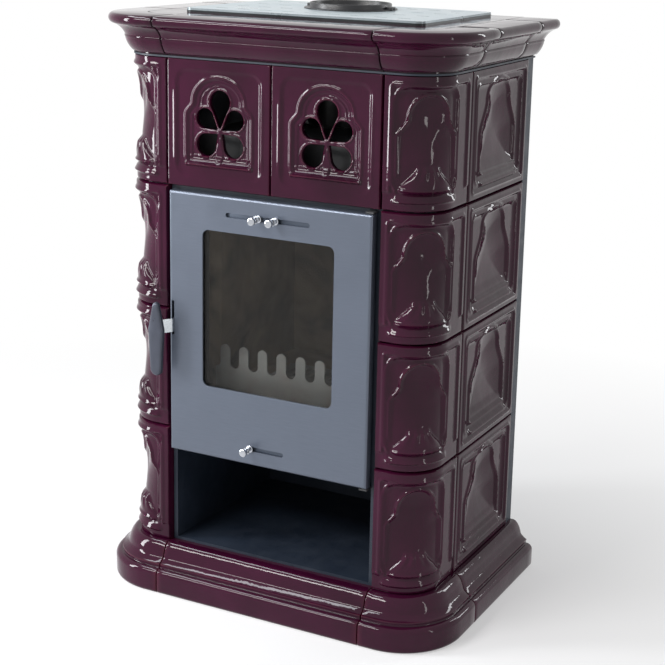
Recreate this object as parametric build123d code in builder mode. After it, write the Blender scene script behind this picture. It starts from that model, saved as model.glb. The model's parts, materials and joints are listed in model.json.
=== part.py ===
from build123d import *
import os
from math import cos, pi, radians, sin

# Free-standing tiled stove: four courses of glazed relief tiles hung round a steel
# carcass, on a moulded plinth and under a moulded cornice, with a glazed fire door
# above an open log store. Millimetres; +X is right as seen from the front, the
# front faces -Y, +Z is up and the origin is the middle of the footprint.

# ---- tile casing ----
course_height = 220.0  # one course of tiles with its joint
course_count = 4
joint = 2.0  # open joint between neighbouring tiles
front_tile_width = 204.0  # each of the two fretwork tiles, joint included
corner_front_leg = 98.0  # corner tile, from the front seam to its side face
corner_side_leg = 132.0  # corner tile, from the front face to the side seam
corner_radius = 70.0
tile_depth = 45.0  # face to the back of the rim
tile_wall = 12.0
rim_wall = 10.0
tile_bevel = 3.0
panel_border = 18.0  # plain border round the sunk panel of a tile
panel_depth = 3.0
panel_radius = 8.0
niche_depth = 14.0
niche_flare = 2.5  # how far a niche widens from its floor to the face
shoulder_step = 13.0  # small cove where an arch steps in
corner_niche_sill = 34.0  # niche's foot above the tile's foot
corner_niche_width = 90.0  # across the diagonal of the corner
corner_niche_height = 154.0
corner_arch_rise = 32.0  # arch's crown above its springing
corner_niche_taper = 5.0  # degrees
side_niche_sill = 44.0
side_niche_width = 142.0
side_niche_height = 146.0
side_arch_rise = 43.0
sill_height = 15.0
hood_height = 42.0
hood_proud = 11.0
hood_spread = 72.0  # degrees of the corner that the hood covers
hood_root = 1.0  # the hood's back, sunk in the wall
hood_lip_height = 3.0
fret_arch_sill = 41.0
fret_arch_width = 128.0
fret_arch_height = 156.0
fret_arch_rise = 47.0
fret_ridge = 7.0
fret_field_depth = 7.0
flower_height = 98.0  # centre of the flower above the tile's foot
petal_gap = 8.5  # centre of the flower to a petal's point
petal_point_radius = 2.5
top_petal_reach = 50.0  # centre of the flower to the middle of a petal
top_petal_radius = 20.0
side_petal_reach = 36.0
side_petal_radius = 17.5
side_petal_angle = 36.0  # degrees above level
low_petal_reach = 35.5
low_petal_radius = 19.5
low_petal_angle = 41.5  # degrees below level

# ---- plinth and cornice ----
plinth_height = 86.0
plinth_ledge = 8.0  # top of the plinth in front of the tile face
plinth_lip = 7.0
plinth_band_height = 44.0
plinth_groove = 4.0
plinth_sweep_radius = 28.0
foot_reach = 45.0
foot_round = 5.0
plinth_wall = 12.0
cornice_foot_height = 3.0
cornice_height = 64.0
bead_foot_reach = 5.0
bead_swell = 2.0
bead_height = 23.0
frieze_reach = 17.0
frieze_height = 27.0
rim_reach = 45.0
rim_height = 18.0
rim_fall_depth = 7.0  # how far the rim rolls back at its top and foot
cornice_heel = 25.0  # depth of the cornice moulding behind the tile face
ledge_thickness = 12.0
cornice_rear_seam = 320.0  # behind the tile face

# ---- steel carcass ----
sheet = 3.0
rear_casing_depth = 25.0
carcass_gap = 2.0  # between the carcass and the back of the tile rims
shelf_setback = 12.0  # the joint shelves stop short of the tile face
frame_setback = 14.0  # front frame behind the tile face
foot_size = 40.0
base_level = 62.0
cornice_plate_lap = 1.5  # the cornice plate shows this much in front of the tiles
rear_flange = 38.0

# ---- fire door ----
door_side_gap = 8.5  # between the door and the seam of the corner tiles
door_top_gap = 6.0  # under the lintel
door_height = 470.0
door_proud = 8.0
door_sheet = 3.0
door_tray_depth = 16.0
door_edge_radius = 4.5
window_side = 68.0  # the door's side edge to the window
window_head = 61.0  # the door's top edge to the window
window_sill = 130.0  # above the door's bottom edge
window_radius = 12.0
glass_thickness = 4.0
glass_lap = 16.0
glass_tape = 1.0
rope_width = 10.0
ring_side_edge = 19.5  # inner frame to the door's side edges
ring_member = 14.0
ring_edge = 3.6  # inner frame to the door's top and bottom edges
ring_depth = 14.0
running_gap = 0.3
hinge_inset = 7.0  # hinge axis in from the door's edge
hinge_depth = 10.0  # hinge axis behind the door's face
hinge_pin_diameter = 6.0
hinge_pin_length = 18.0
hinge_clearance = 0.05  # radial
hinge_plate = 3.0
boss_width = 12.0
boss_height = 22.0
mouth_side = 45.5  # the door's side edge to the firebox mouth
mouth_head = 35.0  # the door's top edge to the firebox mouth
mouth_sill = 17.0  # above the door's bottom edge

# ---- latch handle ----
lever_thickness = 4.0
lever_height = 24.0
lever_inset = 7.0  # lever plane in from the door's edge
lever_drop = 16.0  # lever's foot below the door's middle
handle_slot_width = 5.4
handle_slot_below = 6.0  # slot under the lever's foot
handle_slot_height = 62.0
lever_reach = 18.0  # lever's bend in front of the door face
lever_side_step = 27.5  # lever's end beyond its own plane
lever_tail = 36.0  # tail behind the pivot
tail_height = 10.0
tail_hook = 8.0
pivot_depth = 10.0  # pivot behind the door's face
pivot_diameter = 6.0
pivot_clearance = 0.05
pivot_ear = 1.5
grip_height = 133.0
grip_width = 31.0
grip_thickness = 8.0
grip_above = 31.0  # grip's top above the lever's top
grip_top_radius = 6.0
grip_foot_radius = 11.0
keeper_window_width = 13.0
keeper_plate = 3.0

# ---- air slides ----
air_slot_length = 162.0
air_slot_height = 8.0
air_slot_drop = 31.0  # below the door's top edge
primary_slot_length = 72.0
primary_slot_rise = 30.0  # above the door's bottom edge
slide_thickness = 2.0
slide_height = 20.0
air_slide_length = 84.0
primary_slide_length = 76.0
primary_travel = 60.0
slide_rail = 2.0
knob_head_diameter = 14.0
knob_neck_diameter = 7.0
knob_length = 27.0
knob_ring_diameter = 12.5
knob_ring_width = 2.0
knob_head_length = 6.0
knob_round = 1.0
stud_diameter = 5.0
air_knob_offset = 16.5  # each upper knob from the door's middle
primary_knob_offset = -30.0

# ---- firebox ----
firebox_sheet = 4.0
firebox_side = 27.5  # the door's side edge to the firebox, clear of the latch
firebox_depth = 350.0
firebox_rear_gap = 40.0  # between the firebox and the back panel's sheet
smoke_box_height = 134.0  # firebox above its mouth
brick = 25.0
bed_level = 90.0  # top of the fire bed above the door's mouth sill
bed_thickness = 28.0
bed_ledge = 14.0
lining_drop = 16.0  # top of the bricks below the mouth's top edge
baffle_thickness = 16.0
baffle_gap = 90.0  # flame path in front of the baffle
grate_width = 190.0
grate_depth = 150.0
grate_thickness = 12.0
grate_lap = 8.0
grate_bar = 9.0
grate_slot = 9.0
fence_depth = 46.0  # log retainer behind the tile face
fence_height = 86.0
fence_side_gap = 31.0
finger_count = 7
finger_height = 42.0
fence_foot = 26.0
drawer_side_gap = 46.0
drawer_length = 255.0
drawer_height = 50.0
drawer_sheet = 2.0
drawer_front_gap = 22.0  # behind the front frame
drawer_pull = 8.0

# ---- log store ----
store_floor = 5.0  # above the plinth
store_side_gap = 8.0  # store wall to the front frame's edge
store_depth = 330.0
store_top_gap = 6.0  # below the door's bottom edge
liner = 2.0

# ---- top ----
top_plate_width = 456.0
top_plate_front = 90.0  # behind the tile face
top_plate_depth = 300.0
top_plate_rise = 7.0
top_plate_lap = 8.0  # over the ledge round it
top_corner_radius = 14.0
vent_length = 24.0
vent_width = 4.0
vent_pitch_x = 44.0
vent_pitch_y = 36.0
flue_diameter = 146.0
flue_wall = 4.0
flue_rise = 11.0
flue_depth = 280.0  # axis behind the tile face
flue_flange = 166.0
flange_thickness = 2.0
lug_width = 14.0
lug_height = 7.0

# ---- places worked out from the sizes above ----
seam_x = front_tile_width
half_width = seam_x + corner_front_leg
case_depth = frame_setback + sheet + firebox_depth + firebox_rear_gap + sheet
side_end = case_depth - rear_casing_depth
side_tile_width = side_end - corner_side_leg
front_reach = max(foot_reach, rim_reach)
face_y = (front_reach - case_depth) / 2
arc_x = half_width - corner_radius
arc_y = face_y + corner_radius
tile_height = course_height - joint
tiles_top = plinth_height + course_count * course_height - joint
plate_top = tiles_top + sheet
cornice_base = plate_top + cornice_foot_height
cornice_top = cornice_base + cornice_height
lintel = plinth_height + (course_count - 1) * course_height - joint
carcass_half = half_width - tile_depth - carcass_gap
frame_face = face_y + frame_setback
frame_back = frame_face + sheet
frame_half = seam_x - joint / 2
flange_front = face_y + tile_depth + carcass_gap
return_back = flange_front + sheet

door_half = seam_x - door_side_gap
door_top = lintel - door_top_gap
door_bottom = door_top - door_height
door_middle = (door_top + door_bottom) / 2
door_face = face_y - door_proud
door_inner = door_face + door_sheet
door_back = door_face + door_tray_depth
window_bottom = door_bottom + window_sill
window_top = door_top - window_head
window_height = window_top - window_bottom
window_middle = (window_bottom + window_top) / 2
window_half = door_half - window_side
ring_half = door_half - ring_side_edge
glass_front = door_inner + glass_tape
glass_back = glass_front + glass_thickness
hinge_x = door_half - hinge_inset
hinge_y = door_face + hinge_depth
mouth_bottom = door_bottom + mouth_sill
mouth_top = door_top - mouth_head
mouth_half = door_half - mouth_side

lever_x = -(door_half - lever_inset)
lever_foot = door_middle - lever_drop
lever_top = lever_foot + lever_height
pivot_y = door_face + pivot_depth
pivot_z = lever_foot + lever_height / 2
bend_y = door_face - lever_reach
lever_end_x = lever_x - lever_side_step
grip_back = bend_y - lever_thickness / 2
grip_x = lever_end_x + grip_width / 4
grip_top = lever_top + grip_above
grip_middle = grip_top - grip_height / 2

air_z = door_top - air_slot_drop
primary_z = door_bottom + primary_slot_rise
slide_front = door_inner + running_gap
slide_back = slide_front + slide_thickness

firebox_half = door_half - firebox_side
firebox_back = frame_back + firebox_depth
firebox_bottom = mouth_bottom - firebox_sheet
throat_foot = mouth_top + firebox_sheet
firebox_top = mouth_top + smoke_box_height
box_inner = firebox_half - firebox_sheet
bed_top = mouth_bottom + bed_level
bed_bottom = bed_top - bed_thickness
lining_top = mouth_top - lining_drop
lining_back = firebox_back - firebox_sheet
bed_front = frame_back + firebox_sheet + running_gap
fence_y = face_y + fence_depth
fence_half = box_inner - fence_side_gap
drawer_half = box_inner - drawer_side_gap
drawer_floor = mouth_bottom + running_gap
drawer_front = frame_back + drawer_front_gap

store_bottom = plinth_height + store_floor
store_top = door_bottom - store_top_gap
store_half = frame_half - store_side_gap
store_back = frame_back + store_depth

opening_half = top_plate_width / 2 - top_plate_lap
opening_front = face_y + top_plate_front + top_plate_lap
top_front = face_y + top_plate_front
top_back = top_front + top_plate_depth
top_level = cornice_top + top_plate_rise
flue_y = face_y + flue_depth
flue_radius = flue_diameter / 2
flue_bore = flue_radius - flue_wall
case_back = face_y + case_depth
side_back = face_y + side_end

# The right-hand pieces are drawn first; the left-hand ones are their mirror images.
FRONT = dict(x_dir=(0, -1, 0), z_dir=(-1, 0, 0))  # section plane of a front moulding
SIDE = dict(x_dir=(1, 0, 0), z_dir=(0, -1, 0))  # section plane of a right side moulding
DIAGONAL = dict(x_dir=(1, 1, 0), z_dir=(1, -1, 0))  # faces out through the right corner
LOW = (Align.MIN, Align.MIN)


def keep(piece, name):
    """Label a finished piece and write it to its own file."""
    piece.part.label = name
    export_step(piece.part, f"parts/{name}.step")


def keep_mirrored(piece, stem):
    """Write a right-hand piece and its mirror image."""
    keep(piece, f"{stem}_right")
    with BuildPart() as twin:
        mirror(piece.part, about=Plane.YZ)
    keep(twin, f"{stem}_left")


def block(x_range, y_range, z_range, mode=Mode.ADD):
    """A block between two places on each axis, in the part being built."""
    spans = [high - low for low, high in (x_range, y_range, z_range)]
    with Locations((x_range[0], y_range[0], z_range[0])):
        Box(*spans, align=3 * (Align.MIN,), mode=mode)


# ---- relief tiles ----
def shouldered_arch(width, height, rise):
    """Arch outline with a small cove at each shoulder, standing on the sketch's origin."""
    half = width / 2
    spring = half - shoulder_step
    shoulder = height - rise - shoulder_step
    with BuildSketch() as outline:
        with BuildLine():
            Line((-half, 0), (half, 0))
            Line((half, 0), (half, shoulder))
            CenterArc((half, shoulder + shoulder_step), shoulder_step, 270, -90)
            ThreePointArc(
                (spring, shoulder + shoulder_step), (0, height), (-spring, shoulder + shoulder_step)
            )
            CenterArc((-half, shoulder + shoulder_step), shoulder_step, 0, -90)
            Line((-half, shoulder), (-half, 0))
        make_face()
    return outline.sketch


def flat_tile(width):
    """Blank of a flat tile: bevelled face on y = 0, hollow behind, foot on z = 0."""
    with BuildPart() as tile:
        with BuildSketch(Plane.XZ):
            Rectangle(width, tile_height, align=LOW)
        extrude(amount=-tile_depth)
        chamfer(tile.faces().sort_by(Axis.Y)[0].edges(), length=tile_bevel)
        with BuildSketch(Plane.XZ):
            with Locations((width / 2, tile_height / 2)):
                RectangleRounded(width - 2 * panel_border, tile_height - 2 * panel_border, panel_radius)
        extrude(amount=-panel_depth, mode=Mode.SUBTRACT)
        with BuildSketch(Plane.XZ.offset(-tile_depth)):
            with Locations((width / 2, tile_height / 2)):
                Rectangle(width - 2 * rim_wall, tile_height - 2 * rim_wall)
        extrude(amount=tile_depth - niche_depth - tile_wall, mode=Mode.SUBTRACT)
    return tile.part


def side_tile():
    """Flat tile with a deep arched niche over a sloping sill."""
    width = side_tile_width - joint
    with BuildPart() as tile:
        add(flat_tile(width))
        for depth, grow in ((niche_depth, 0), (0, niche_flare)):
            foot = (width / 2, depth, side_niche_sill - grow)
            with BuildSketch(Plane(foot, x_dir=(1, 0, 0), z_dir=(0, -1, 0))):
                add(shouldered_arch(side_niche_width + 2 * grow, side_niche_height + 2 * grow, side_arch_rise))
        loft(ruled=True, mode=Mode.SUBTRACT)
        edge = (width / 2 + side_niche_width / 2, niche_depth, side_niche_sill)
        sill_plane = Plane(edge, x_dir=(0, -1, 0), z_dir=(-1, 0, 0))
        with BuildSketch(sill_plane):
            with BuildLine():
                Polyline((0, 0), (niche_depth - panel_depth, 0), (0, sill_height), (0, 0))
            make_face()
        extrude(amount=side_niche_width)
    return tile.part


def petals():
    """The flower's five openings: a tall top petal, two at the sides and two low ones."""
    top = (90, top_petal_reach, top_petal_radius)
    sides = [(angle, side_petal_reach, side_petal_radius) for angle in (side_petal_angle, 180 - side_petal_angle)]
    low = [(angle, low_petal_reach, low_petal_radius) for angle in (-low_petal_angle, 180 + low_petal_angle)]
    for angle, reach, radius in (top, *sides, *low):
        across, up = cos(radians(angle)), sin(radians(angle))
        with BuildSketch() as petal:
            with Locations((petal_gap * across, petal_gap * up)):
                Circle(petal_point_radius)
            with Locations((reach * across, reach * up)):
                Circle(radius)
            make_hull()
        yield petal.sketch


def fret_tile():
    """Flat tile with a ridged arch round a pierced flower of five petals."""
    width = front_tile_width - joint
    arch = shouldered_arch(fret_arch_width, fret_arch_height, fret_arch_rise)
    with BuildPart() as tile:
        add(flat_tile(width))
        sill = Plane((width / 2, 0, fret_arch_sill), x_dir=(1, 0, 0), z_dir=(0, -1, 0))
        with BuildSketch(sill):
            add(arch)
        extrude(amount=-panel_depth)
        with BuildSketch(sill):
            add(arch)
            offset(amount=-fret_ridge, mode=Mode.REPLACE)
        extrude(amount=-fret_field_depth, mode=Mode.SUBTRACT)
        with BuildSketch(Plane((width / 2, 0, flower_height), x_dir=(1, 0, 0), z_dir=(0, -1, 0))):
            for petal in petals():
                add(petal)
        extrude(amount=-tile_depth, mode=Mode.SUBTRACT)
    return tile.part


def corner_wall(near, far, trim, low, high):
    """Part of the right corner's wall between two depths behind its face and two levels."""
    start_x = seam_x + joint / 2 + trim
    end_y = face_y + corner_side_leg - joint / 2 - trim
    with BuildPart() as wall:
        with BuildSketch(Plane.XY.offset(low)):
            with BuildLine():
                Line((start_x, face_y + near), (arc_x, face_y + near))
                CenterArc((arc_x, arc_y), corner_radius - near, -90, 90)
                Line((half_width - near, arc_y), (half_width - near, end_y))
                Line((half_width - near, end_y), (half_width - far, end_y))
                Line((half_width - far, end_y), (half_width - far, arc_y))
                CenterArc((arc_x, arc_y), corner_radius - far, 0, -90)
                Line((arc_x, face_y + far), (start_x, face_y + far))
                Line((start_x, face_y + far), (start_x, face_y + near))
            make_face()
        extrude(amount=high - low)
    return wall.part


def corner_niche(low):
    """The space of a corner tile's niche: an arch driven in along the diagonal."""
    start = corner_radius / 2
    origin = (arc_x + start * cos(pi / 4), arc_y - start * sin(pi / 4), low + corner_niche_sill)
    with BuildPart() as niche:
        with BuildSketch(Plane(origin, **DIAGONAL)):
            add(shouldered_arch(corner_niche_width, corner_niche_height, corner_arch_rise))
        extrude(amount=corner_radius, taper=-corner_niche_taper)
        add(corner_wall(-tile_depth, niche_depth, 0, low, low + tile_height), mode=Mode.INTERSECT)
    return niche.part


def corner_hood(low):
    """Flared skirt at the foot of a corner niche, turned about the corner's own axis."""
    back = corner_radius - niche_depth
    rear = back - hood_root
    foot = low + corner_niche_sill
    under = foot - hood_root
    lip = foot + hood_lip_height
    half = radians(hood_spread / 2)
    out = (cos(-pi / 4 - half), sin(-pi / 4 - half), 0)
    across = (sin(-pi / 4 - half), -cos(-pi / 4 - half), 0)
    with BuildPart() as hood:
        with BuildSketch(Plane((arc_x, arc_y, 0), x_dir=out, z_dir=across)):
            with BuildLine():
                Line((rear, under), (back + hood_proud, under))
                Line((back + hood_proud, under), (back + hood_proud, lip))
                ThreePointArc(
                    (back + hood_proud, lip),
                    (back + hood_proud / 3, foot + hood_height / 3),
                    (back, foot + hood_height),
                )
                Line((back, foot + hood_height), (rear, foot + hood_height))
                Line((rear, foot + hood_height), (rear, under))
            make_face()
        revolve(axis=Axis((arc_x, arc_y, 0), (0, 0, 1)), revolution_arc=hood_spread)
    return hood.part


def corner_tile():
    """Right corner tile of the lowest course: wall, sunk panel, niche, hood and hollow back."""
    low = plinth_height
    high = low + tile_height
    with BuildPart() as tile:
        add(corner_wall(0, tile_depth, 0, low, high))
        add(
            corner_wall(-tile_depth, panel_depth, panel_border, low + panel_border, high - panel_border),
            mode=Mode.SUBTRACT,
        )
        add(corner_niche(low), mode=Mode.SUBTRACT)
        add(corner_hood(low))
        add(
            corner_wall(niche_depth + tile_wall, tile_depth + joint, rim_wall, low + rim_wall, high - rim_wall),
            mode=Mode.SUBTRACT,
        )
    return tile.part


def raised(shape, level):
    """A copy of a shape lifted by a number of courses."""
    with BuildPart() as copy_of:
        with Locations((0, 0, level * course_height)):
            add(shape)
    return copy_of


def make_tiles():
    corner = corner_tile()
    flat_side = side_tile()
    side_corner = (half_width, face_y + corner_side_leg + joint / 2, plinth_height)
    with BuildPart() as side:
        with Locations(Location(side_corner, (0, 0, 90))):
            add(flat_side)
    for course in range(course_count):
        keep_mirrored(raised(corner, course), f"corner_tile_{course + 1}")
        keep_mirrored(raised(side.part, course), f"side_tile_{course + 1}")
    fret = fret_tile()
    with BuildPart() as fret_right:
        with Locations((joint / 2, face_y, lintel + joint)):
            add(fret)
    keep_mirrored(fret_right, "fret_tile")


# ---- mouldings ----
def plinth_section():
    """Outline of the plinth: reach in front of the tile face against height."""
    top = plinth_height
    band = plinth_band_height
    shoulder = foot_reach - plinth_wall
    groove_top = band + 2 * plinth_groove
    groove_root = shoulder - plinth_groove / 4
    foot_curve = (plinth_wall**2 + 4 * foot_round**2) / (2 * plinth_wall)
    with BuildSketch() as outline:
        with BuildLine():
            Line((-2 * plinth_wall, top), (plinth_ledge, top))
            Line((plinth_ledge, top), (plinth_ledge, top - plinth_lip))
            RadiusArc((plinth_ledge, top - plinth_lip), (shoulder, groove_top), plinth_sweep_radius)
            Line((shoulder, groove_top), (groove_root, band + plinth_groove))
            Line((groove_root, band + plinth_groove), (shoulder, band))
            RadiusArc((shoulder, band), (foot_reach, band - 2 * foot_round), -foot_curve)
            Line((foot_reach, band - 2 * foot_round), (foot_reach, foot_round))
            Line((foot_reach, foot_round), (foot_reach - foot_round / 2, 0))
            Line((foot_reach - foot_round / 2, 0), (shoulder - plinth_wall, 0))
            Line((shoulder - plinth_wall, 0), (shoulder - plinth_wall, band - plinth_wall / 2))
            Line((shoulder - plinth_wall, band - plinth_wall / 2), (-plinth_wall / 3, top - 2 * plinth_wall))
            Line((-plinth_wall / 3, top - 2 * plinth_wall), (-2 * plinth_wall, top - plinth_wall))
            Line((-2 * plinth_wall, top - plinth_wall), (-2 * plinth_wall, top))
        make_face()
    return outline.sketch


def cornice_section():
    """Outline of the cornice: bead, narrow frieze, cove and rolled rim over a recessed foot."""
    bead_top = cornice_base + bead_height
    frieze_top = cornice_base + frieze_height
    rim_bottom = cornice_top - rim_height
    rim_root = rim_reach - rim_fall_depth
    with BuildSketch() as outline:
        with BuildLine():
            Line((-cornice_heel, plate_top), (-joint, plate_top))
            Line((-joint, plate_top), (-joint, cornice_base))
            Line((-joint, cornice_base), (bead_foot_reach, cornice_base))
            ThreePointArc(
                (bead_foot_reach, cornice_base),
                ((bead_foot_reach + frieze_reach) / 2 + bead_swell, (cornice_base + bead_top) / 2),
                (frieze_reach, bead_top),
            )
            Line((frieze_reach, bead_top), (frieze_reach, frieze_top))
            ThreePointArc(
                (frieze_reach, frieze_top),
                ((frieze_reach + rim_root) / 2 - joint, (frieze_top + rim_bottom) / 2 + joint),
                (rim_root, rim_bottom),
            )
            ThreePointArc(
                (rim_root, rim_bottom),
                (rim_reach, rim_bottom + rim_height / 2),
                (rim_root, cornice_top),
            )
            Line((rim_root, cornice_top), (-cornice_heel, cornice_top))
            Line((-cornice_heel, cornice_top), (-cornice_heel, plate_top))
        make_face()
    return outline.sketch


def front_moulding(section):
    """Straight run of a section between the two front seams."""
    half = seam_x - joint / 2
    with BuildPart() as run:
        with BuildSketch(Plane((half, face_y, 0), **FRONT)):
            add(section())
        extrude(amount=2 * half)
    return run


def corner_moulding(section):
    """A section turned round the right corner, with its two straight legs."""
    with BuildPart() as run:
        with BuildSketch(Plane((arc_x, face_y, 0), **FRONT)):
            add(section())
        extrude(amount=arc_x - seam_x - joint / 2)
        with BuildSketch(Plane((arc_x, face_y, 0), **FRONT)):
            add(section())
        revolve(axis=Axis((arc_x, arc_y, 0), (0, 0, 1)), revolution_arc=90)
        with BuildSketch(Plane((half_width, arc_y, 0), **SIDE)):
            add(section())
        extrude(amount=corner_radius + joint / 2 - corner_side_leg)
    return run


def side_moulding(section, start, end):
    """Straight run of a section along the right side, between two depths."""
    with BuildPart() as run:
        with BuildSketch(Plane((half_width, face_y + start, 0), **SIDE)):
            add(section())
        extrude(amount=start - end)
    return run


def make_plinth():
    keep(front_moulding(plinth_section), "plinth_front")
    keep_mirrored(corner_moulding(plinth_section), "plinth_corner")
    keep_mirrored(
        side_moulding(plinth_section, corner_side_leg + joint / 2, case_depth), "plinth_side"
    )


def make_cornice():
    """Cornice runs, each with the flat ledge that reaches in under the top plate."""
    ledge = (cornice_top - ledge_thickness, cornice_top)
    heel = cornice_heel - joint
    with BuildPart() as front:
        add(front_moulding(cornice_section).part)
        block((joint / 2 - seam_x, seam_x - joint / 2), (face_y + heel, opening_front), ledge)
    keep(front, "cornice_front")
    with BuildPart() as corner:
        add(corner_moulding(cornice_section).part)
        seam_end = face_y + corner_side_leg - joint / 2
        with BuildSketch(Plane.XY.offset(ledge[0])):
            with BuildLine():
                Polyline(
                    (half_width - heel, arc_y),
                    (half_width - heel, seam_end),
                    (opening_half, seam_end),
                    (opening_half, opening_front),
                    (seam_x + joint / 2, opening_front),
                    (seam_x + joint / 2, face_y + heel),
                    (arc_x, face_y + heel),
                )
                CenterArc((arc_x, arc_y), corner_radius - heel, -90, 90)
            make_face()
        extrude(amount=ledge_thickness)
    keep_mirrored(corner, "cornice_corner")
    runs = (
        ("cornice_side", corner_side_leg + joint / 2, cornice_rear_seam - joint / 2),
        ("cornice_rear", cornice_rear_seam + joint / 2, case_depth),
    )
    for name, start, end in runs:
        with BuildPart() as run:
            add(side_moulding(cornice_section, start, end).part)
            block((opening_half, half_width - heel), (face_y + start, face_y + end), ledge)
        keep_mirrored(run, name)


# ---- carcass ----
def casing_outline(out, back):
    """Casing outline in plan, moved out by a distance, from back to back round the front."""
    half = half_width + out
    radius = corner_radius + out
    near = face_y - out
    with BuildSketch() as outline:
        with BuildLine():
            Line((-half, back), (-half, arc_y))
            CenterArc((-arc_x, arc_y), radius, 180, 90)
            Line((-arc_x, near), (arc_x, near))
            CenterArc((arc_x, arc_y), radius, -90, 90)
            Line((half, arc_y), (half, back))
            Line((half, back), (-half, back))
        make_face()
    return outline.sketch


def carcass_plan():
    """Plan of the carcass: straight sides, with the front corners folded at 45 degrees."""
    with BuildSketch() as outline:
        with BuildLine():
            Polyline(
                (carcass_half, side_back),
                (carcass_half, arc_y),
                (arc_x, flange_front),
                (-arc_x, flange_front),
                (-carcass_half, arc_y),
                (-carcass_half, side_back),
                (carcass_half, side_back),
            )
        make_face()
    return outline.sketch


def make_carcass():
    """Welded carcass: base on four feet, two folded side sheets, and a shelf in each joint."""
    with BuildPart() as carcass:
        with BuildSketch(Plane.XY.offset(base_level)):
            add(carcass_plan())
        extrude(amount=sheet)
        with BuildSketch(Plane.XY.offset(base_level)):
            add(carcass_plan())
            offset(amount=-sheet, kind=Kind.INTERSECTION, mode=Mode.SUBTRACT)
            with Locations((0, flange_front)):
                Rectangle(2 * arc_x, 2 * sheet, mode=Mode.SUBTRACT)
            with Locations((0, side_back)):
                Rectangle(2 * (carcass_half - sheet), 2 * sheet, mode=Mode.SUBTRACT)
        extrude(amount=tiles_top - base_level)
        with BuildSketch(Plane.XY):
            with Locations((0, (return_back + side_back) / 2)):
                with GridLocations(2 * arc_x - foot_size, side_back - return_back - foot_size, 2, 2):
                    Rectangle(foot_size, foot_size)
                    Rectangle(foot_size - 2 * sheet, foot_size - 2 * sheet, mode=Mode.SUBTRACT)
        extrude(amount=base_level)
        for course in range(1, course_count):
            with BuildSketch(Plane.XY.offset(plinth_height + course * course_height - joint)):
                add(casing_outline(-shelf_setback, side_back))
                add(carcass_plan(), mode=Mode.SUBTRACT)
                with Locations((0, face_y)):
                    Rectangle(2 * frame_half, 2 * (flange_front - face_y), mode=Mode.SUBTRACT)
            extrude(amount=joint)
    keep(carcass, "carcass")


def make_front_frame():
    """Folded steel front: a face with the fire and log openings, and a return at each side."""
    mouth = (-mouth_half, mouth_half)
    with BuildPart() as frame:
        block((-frame_half, frame_half), (frame_face, frame_back), (plinth_height, lintel + joint))
        block((-frame_half, frame_half), (face_y + shelf_setback, face_y + tile_depth), (lintel, lintel + joint))
        for side in (-1, 1):
            edges = sorted((side * (frame_half - sheet), side * frame_half))
            block(edges, (frame_face, return_back), (plinth_height, lintel + joint))
            edges = sorted((side * frame_half, side * arc_x))
            block(edges, (flange_front, return_back), (plinth_height, tiles_top))
        block(mouth, (frame_face, frame_back), (mouth_bottom, mouth_top), Mode.SUBTRACT)
        block((-store_half, store_half), (frame_face, frame_back), (store_bottom, store_top), Mode.SUBTRACT)
        keeper_x = (lever_x - keeper_window_width / 2, lever_x + keeper_window_width / 2)
        keeper_z = (pivot_z - tail_height / 2 - tail_hook - joint, pivot_z + tail_height)
        block(keeper_x, (frame_face, frame_back), keeper_z, Mode.SUBTRACT)
    keep(frame, "front_frame")


def make_back_panel():
    """Rear casing tray behind the side tiles, with a field of vents."""
    half = half_width - joint
    with BuildPart() as panel:
        block((-half, half), (side_back, case_back), (plinth_height, tiles_top))
        block(
            (sheet - half, half - sheet),
            (side_back, case_back - sheet),
            (plinth_height + sheet, tiles_top - sheet),
            Mode.SUBTRACT,
        )
        with BuildSketch(Plane.XZ.offset(-case_back)):
            for level in (plinth_height + course_height / 2, tiles_top - course_height / 2):
                with Locations((0, level)):
                    with GridLocations(2 * vent_pitch_x, 2 * vent_pitch_y, 5, 3):
                        SlotOverall(2 * vent_length, 2 * vent_width)
        extrude(amount=sheet, mode=Mode.SUBTRACT)
    keep(panel, "back_panel")


def make_cornice_plate():
    """Plate on the top course that carries the cornice, with an upstand across the back."""
    inner_half = half_width - tile_depth
    flange_level = cornice_top - sheet
    with BuildPart() as plate:
        with BuildSketch(Plane.XY.offset(tiles_top)):
            add(casing_outline(cornice_plate_lap, case_back))
            with Locations((0, face_y + tile_depth)):
                Rectangle(
                    2 * inner_half,
                    case_depth - 2 * tile_depth,
                    align=(Align.CENTER, Align.MIN),
                    mode=Mode.SUBTRACT,
                )
        extrude(amount=sheet)
        half = half_width - cornice_heel - joint
        block((-half, half), (case_back - sheet, case_back), (tiles_top, cornice_top - ledge_thickness))
        inner = opening_half - joint
        block((-inner, inner), (case_back - sheet, case_back), (tiles_top, cornice_top))
        block((-inner, inner), (case_back - rear_flange, case_back), (flange_level, cornice_top))
    keep(plate, "cornice_plate")


def make_log_store():
    """Folded liner of the log store: floor, walls, back and a heat shield over it."""
    with BuildPart() as store:
        block((-store_half - liner, store_half + liner), (frame_back, store_back),
              (store_bottom - liner, store_top + liner))
        block((-store_half, store_half), (frame_back, store_back - liner), (store_bottom, store_top), Mode.SUBTRACT)
    keep(store, "log_store_liner")


# ---- firebox ----
def firebox_profile():
    """Side outline of the firebox: upright mouth, throat sloping back behind the fret tiles."""
    with BuildSketch() as outline:
        with BuildLine():
            Polyline(
                (frame_back, firebox_bottom),
                (firebox_back, firebox_bottom),
                (firebox_back, firebox_top),
                (flange_front, firebox_top),
                (flange_front, throat_foot + flange_front - frame_back),
                (frame_back, throat_foot),
                (frame_back, firebox_bottom),
            )
        make_face()
    return outline.sketch


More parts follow.
